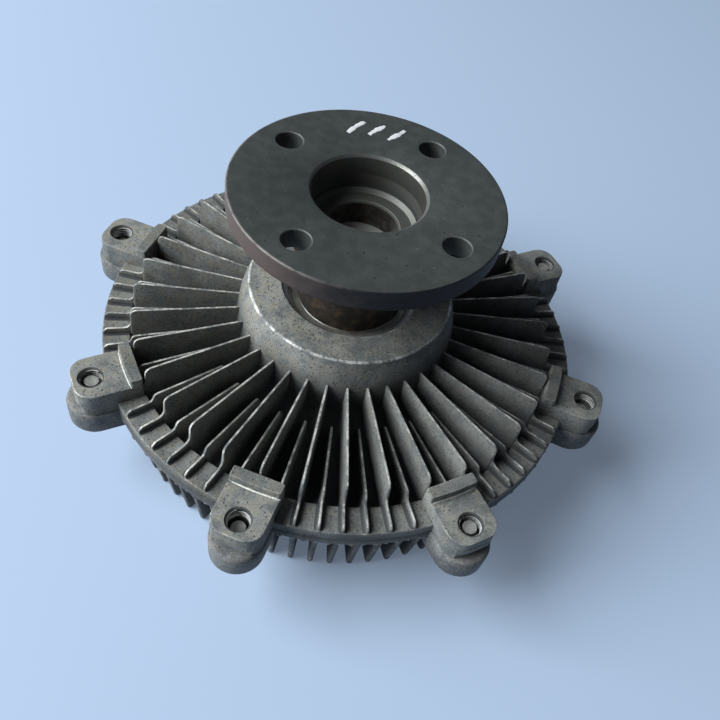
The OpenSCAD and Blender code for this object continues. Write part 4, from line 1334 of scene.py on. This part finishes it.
@dataclass
class DriveHub(Assembly):
    """Forged drive flange with its neck, pilot bore, bolt holes and strokes of paint."""

    top: float = 95.0
    under: float = 88.0
    flange_r: float = 42.5
    boss_r: float = 25.0
    neck_r: float = 18.0
    neck_top: float = 64.0
    bearing_top: float = 52.0
    bearing_low: float = 37.3
    journal_r: float = 12.48
    tail_r: float = 8.98
    tail_low: float = 17.2
    pilot_r: float = 17.5
    pilot_low: float = 84.9
    step_r: float = 16.3
    step_low: float = 82.0
    core_r: float = 11.1
    core_low: float = 73.0
    core_tip: float = 70.2
    bolt_r: float = 32.5
    bolt_hole_r: float = 4.25
    bolts: int = 4
    bolt_turn: float = -20.0
    edge: float = 0.6
    mouth: float = 0.85
    stroke_lean: float = 72.0
    stroke_parts: int = 14
    strokes_at: tuple[Triple, ...] = ((-14.5, 29.0, 9.0), (-8.0, 31.0, 8.0), (-1.5, 31.8, 8.5))
    steps: int = 192

    def section(self) -> list[Corner]:
        """Turned section of the hub.

        Returns:
            Its outline.
        """
        top, under, pilot, mouth, step = self.top, self.under, self.pilot_r, self.mouth, self.step_low
        # The corner at the foot of the pilot bore is darkened as painted shade, and the bore's edges are marked bare
        # and pale as highlight.
        return rounded(corners(
            (0.0, self.tail_low), (self.tail_r + 1.9, self.tail_low, 0.2), (self.tail_r, self.tail_low + 2.0),
            (self.tail_r, self.bearing_low), (self.journal_r, self.bearing_low), (self.journal_r, self.bearing_top),
            (self.neck_r, self.bearing_top, 0.3), (self.neck_r, self.neck_top, 4.0), (self.boss_r, under - 3.0, 1.0),
            (self.boss_r + 0.6, under, 2.6), (self.flange_r, under, 0.6, 0.25), (self.flange_r, top, 0.45, 0.55),
            (pilot + mouth + 0.1, top), (pilot + mouth, top - 0.05, 0.0, 0.7), (pilot + 0.05, top - mouth, 0.0, 0.7),
            (pilot, top - mouth - 0.1), (pilot, self.pilot_low - 0.8, 0.0, 0.0, 0.3),
            (pilot, self.pilot_low - 1.0, 0.0, 0.0, 1.0), (self.step_r + 0.6, step + 1.4, 0.0, 0.0, 1.0),
            (self.step_r + 0.5, step + 1.3, 0.0, 1.0), (self.step_r - 0.65, step + 0.1, 0.0, 1.0),
            (self.step_r - 0.75, step), (self.core_r + self.edge, step, 0.08, 0.7), (self.core_r, step - self.edge),
            (self.core_r, self.core_low, 0.3), (0.0, self.core_tip)))

    def bolt_cutter(self) -> Piece:
        """Cutter for one bolt hole with its broken edge.

        Returns:
            The cutter along +X.
        """
        r, e, low, top = self.bolt_hole_r, 0.6 * self.edge, self.under, self.top
        return turned("bolt_cutter", corners(
            (0.0, low - 1.0), (r + 0.35, low - 1.0), (r + 0.35, low - 0.01, 0.0, 0.2), (r, low + 0.35),
            (r, top - e, 0.0, 0.2), (r + e, top - 0.02, 0.0, 0.6), (r + e + 0.1, top - 0.02), (r + e + 0.6, top - 0.02),
            (r + e + 0.6, top + 1.0), (0.0, top + 1.0)), 48, (self.bolt_r, 0.0))

    def strokes(self) -> None:
        """Three plain slanted strokes of marker paint on the flange's face."""
        d = Draft()
        lean = math.radians(self.stroke_lean)
        along, across = Vector((math.cos(lean), math.sin(lean))), Vector((-math.sin(lean), math.cos(lean)))
        for k, (x, y, size) in enumerate(self.strokes_at):
            ends = [Vector((x, y)) + along * (size * s) for s in (-0.5, 0.5)]
            line = []
            for i in range(self.stroke_parts + 1):
                s = i / self.stroke_parts
                width = 0.85 + 0.16 * math.sin(9.0 * s + 2.1 * k) + 0.1 * math.sin(23.0 * s + k)
                width *= math.sin(math.pi * blend(0.10, 0.90, s)) ** 0.4
                line.append((blend(*ends, s) + across * (0.35 * math.sin(math.pi * s + k)), width))
            outline = [Corner(*(p - across * w)) for p, w in line]
            outline += [Corner(*(p + across * w)) for p, w in reversed(line)]
            levels = ((-0.05, 0.0), (0.02, 0.0), (0.05, 0.15))
            d.slab(outline, [(self.top + rise, inset, 0.0, 0.0) for rise, inset in levels])
        mark = joined("paint_strokes", [d.piece("strokes")])
        mark.data.materials.append(self.shop.finish["paint_pen"])
        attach(mark, Body.HUB.value)

    def build(self) -> None:
        """Make the hub and its paint and set them on the hub's body."""
        cutters = self.shop.ring.repeat(self.bolt_cutter(), self.shop.finish["hub_steel"], self.bolts, self.bolt_turn)
        hub = carved(turned("hub_turned", self.section(), self.steps), cutters, Cut.TAKE)
        self.shop.hand_in(joined("drive_hub_forged", [hub], 30.0), Body.HUB, "hub_steel", "drive_hub")
        self.strokes()


@dataclass
class Bearing(Assembly):
    """The ball bearing's rear seal, which shows round the neck."""

    inner_r: float = 16.16
    outer_r: float = 21.12
    low: float = 50.3
    high: float = 51.4

    def build(self) -> None:
        """Make the pressed seal and set it on the housing."""
        a, b, z, h = self.inner_r, self.outer_r, self.low, self.high
        seal = turned("seal", rounded(corners(
            (a, z - 0.5, 0.2), (a + 1.1, z - 0.5, 0.2), (a + 1.1, z, 0.2), (b, z, 0.1), (b, h, 0.3, 0.0, 0.4),
            (b - 0.9, h, 0.2), (b - 1.3, h - 0.35, 0.2, 0.0, 0.6), (a + 1.5, h - 0.35, 0.2, 0.0, 0.3),
            (a + 1.0, h, 0.2), (a, h, 0.3))), 144)
        self.shop.hand_in(joined("bearing_seal_pressed", [seal]), Body.HOUSING, "seal_steel", "bearing_rear_seal")


@dataclass
class BimetalCoil(Assembly):
    """The spiral strip on the front, held by the shaft's slot and the cover's post."""

    in_r: float = 8.0
    out_r: float = 24.0
    turns: int = 4
    turn_steps: int = 48
    skipped: int = 3
    tail: float = -4.0
    post_end: float = 29.45
    fold_r: float = 1.5
    strip_t: float = 0.9
    low: float = 0.4
    high: float = 4.5
    edge: float = 0.12
    winds_from: float = 0.5
    winds_to: float = 8.4

    def line(self) -> list[Corner]:
        """Middle line of the strip, from the shaft's slot round the spiral into the post.

        Returns:
            Its points.
        """
        count = self.turns * self.turn_steps
        spiral = []
        for k in range(self.skipped, count):
            r, a = blend(self.in_r, self.out_r, k / count), 2.0 * math.pi * k / self.turn_steps
            spiral.append(Corner(r * math.cos(a), r * math.sin(a)))
        return rounded([Corner(self.tail, 0.0), Corner(self.in_r, 0.0, self.fold_r), *spiral,
                        Corner(self.out_r, 0.0, self.fold_r), Corner(self.post_end, 0.0)], closed=False, steps=6)

    def strip(self, name: str, line: Sequence[Corner], start: int, end: int) -> Piece:
        """One stretch of the strip.

        Args:
            name: the object's name.
            line: middle line of the whole strip.
            start: the stretch's first point.
            end: its last point.

        Returns:
            The stretch as an object.
        """
        h, e = self.strip_t / 2.0, self.edge
        half = [(-h, self.low + e), (e - h, self.low), (h - e, self.low), (h, self.low + e)]
        section = half + [(-s, self.low + self.high - z) for s, z in half]
        d = Draft()
        rows = []
        for i in range(start, end + 1):
            c, along = line[i], heading(line, i)
            rows.append([d.point((c.x - along.y * s, c.y + along.x * s, z)) for s, z in section])
        d.tube(rows)
        return joined(name, [d.piece("strip")])

    def build(self) -> None:
        """Make the strip: its first quarter turn as a piece of its own, and the rest set on the housing."""
        line = self.line()
        top = next(i for i, c in enumerate(line) if c.x < 0.1 and c.y > self.in_r)
        inner = self.shop.dress(self.strip("coil_inner_end", line, 0, top), "coil_strip")
        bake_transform(inner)
        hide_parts("bimetal_coil")
        LOG.info("%s: %d faces between valve and housing", inner.name, len(inner.data.polygons))
        turns = self.strip("coil_turns", line, top, len(line) - 1)
        self.shop.hand_in(turns, Body.HOUSING, "coil_strip", "bimetal_coil")


@dataclass
class InnerPieces(Assembly):
    """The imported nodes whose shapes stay, each with its own finish."""

    def build(self) -> None:
        """Dress every node that nothing stands for."""
        slots = {
            "rotor_disc": "rotor_alloy", "bearing_inner_race": "bearing_steel", "bearing_outer_race": "bearing_steel",
            "bearing_balls": "bearing_steel", "bearing_cage": "cage_brass", "bearing_front_seal": "rubber",
            "cover_seal_ring": "rubber", "cover_screw_washers": "screw_steel", "separator_plate": "plate_steel",
            "separator_screws": "screw_steel", "valve_arm": "plate_steel", "valve_shaft": "shaft_steel",
            "valve_shaft_seal": "rubber", "valve_shaft_clip": "screw_steel",
        }
        for name, slot in slots.items():
            self.shop.dress(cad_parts[name], slot)
            LOG.info("%s: kept, finish %s", name, slot)


@dataclass
class Studio:
    """Pale table, soft lamps and the camera at the photograph's place. Sizes in metres."""

    eye: Triple = (0.03864, -0.18117, 0.23552)
    right: Triple = (0.93313, 0.32838, 0.14642)
    up: Triple = (-0.34366, 0.69489, 0.63168)
    ahead: Triple = (-0.10568, 0.63976, -0.76128)
    lens: float = 38.08
    aim: Triple = (0.0, 0.0, 0.04)
    daylight: Triple = (0.92, 0.97, 1.0)
    table: Triple = (0.372, 0.470, 0.622)
    table_half: float = 40.0
    sky: Triple = (0.78, 0.86, 1.0)
    sky_level: float = 0.03
    backdrop: float = 0.36
    glow: float = 0.27
    thrown: float = 0.65

    def camera(self) -> None:
        """Stand the camera where the photograph was taken."""
        data = bpy.data.cameras.new("camera")
        data.lens, data.sensor_width, data.clip_start = self.lens, 36.0, 0.01
        obj = bpy.data.objects.new("camera", data)
        turn = Matrix((self.right, self.up, [-c for c in self.ahead])).transposed()
        obj.matrix_world = Matrix.Translation(self.eye) @ turn.to_4x4()
        bpy.context.scene.collection.objects.link(obj)
        bpy.context.scene.camera = obj

    def floor(self) -> None:
        """Lay the table top."""
        d = Draft()
        size = self.table_half / MM
        d.bm.faces.new([d.point((x, y, 0.0)) for x, y in ((-size, -size), (size, -size), (size, size), (-size, size))])
        table = d.piece("table_top")
        s = Surface("table_top")
        seen = s.shown()
        s.fill(s.shader, {"Emission Strength": s.both(seen, self.glow), "Emission Color": self.table})
        shade = tuple(c * self.thrown for c in self.table)
        table.data.materials.append(s.done(s.mix(seen, shade, self.table), s.between(s.noise(60.0), 0.70, 0.80), 0.0))

    def lamp(self, name: str, place: Triple, size: float, power: float) -> None:
        """Hang one square lamp that faces the part.

        Args:
            name: the lamp's name.
            place: where it hangs.
            size: its side.
            power: its power in watts.
        """
        data = bpy.data.lights.new(name, "AREA")
        data.shape, data.size, data.energy, data.color = "SQUARE", size, power, self.daylight
        obj = bpy.data.objects.new(name, data)
        obj.location = place
        obj.rotation_euler = (Vector(self.aim) - Vector(place)).to_track_quat("-Z", "Y").to_euler()
        bpy.context.scene.collection.objects.link(obj)

    def build(self) -> None:
        """Make the camera, table, lamps and sky."""
        self.camera()
        self.floor()
        self.lamp("window", (-1.50, -0.60, 1.30), 1.5, 71.0)
        self.lamp("front", (-0.85, -0.80, 0.42), 0.7, 3.8)
        world = bpy.data.worlds.new("sky")
        world.use_nodes = True
        w = NodeWriter(world.node_tree)
        level = w.between(w.shown(), self.sky_level, self.backdrop)
        w.fill(w.tree.nodes["Background"], {"Color": self.sky, "Strength": level})
        bpy.context.scene.world = world
        bpy.context.scene.view_settings.view_transform = "Standard"


def main() -> None:
    """Build the studio and every sub-assembly in order."""
    logging.basicConfig(level=logging.INFO, format="%(name)s %(message)s")
    Studio().build()
    shop = Workshop()
    lugs = LugRow(shop)
    for part in (RearHousing(shop, lugs), FrontCover(shop, lugs), lugs, DriveHub(shop), Bearing(shop),
                 BimetalCoil(shop), InnerPieces(shop)):
        part.build()


if __name__ == "__main__":
    main()
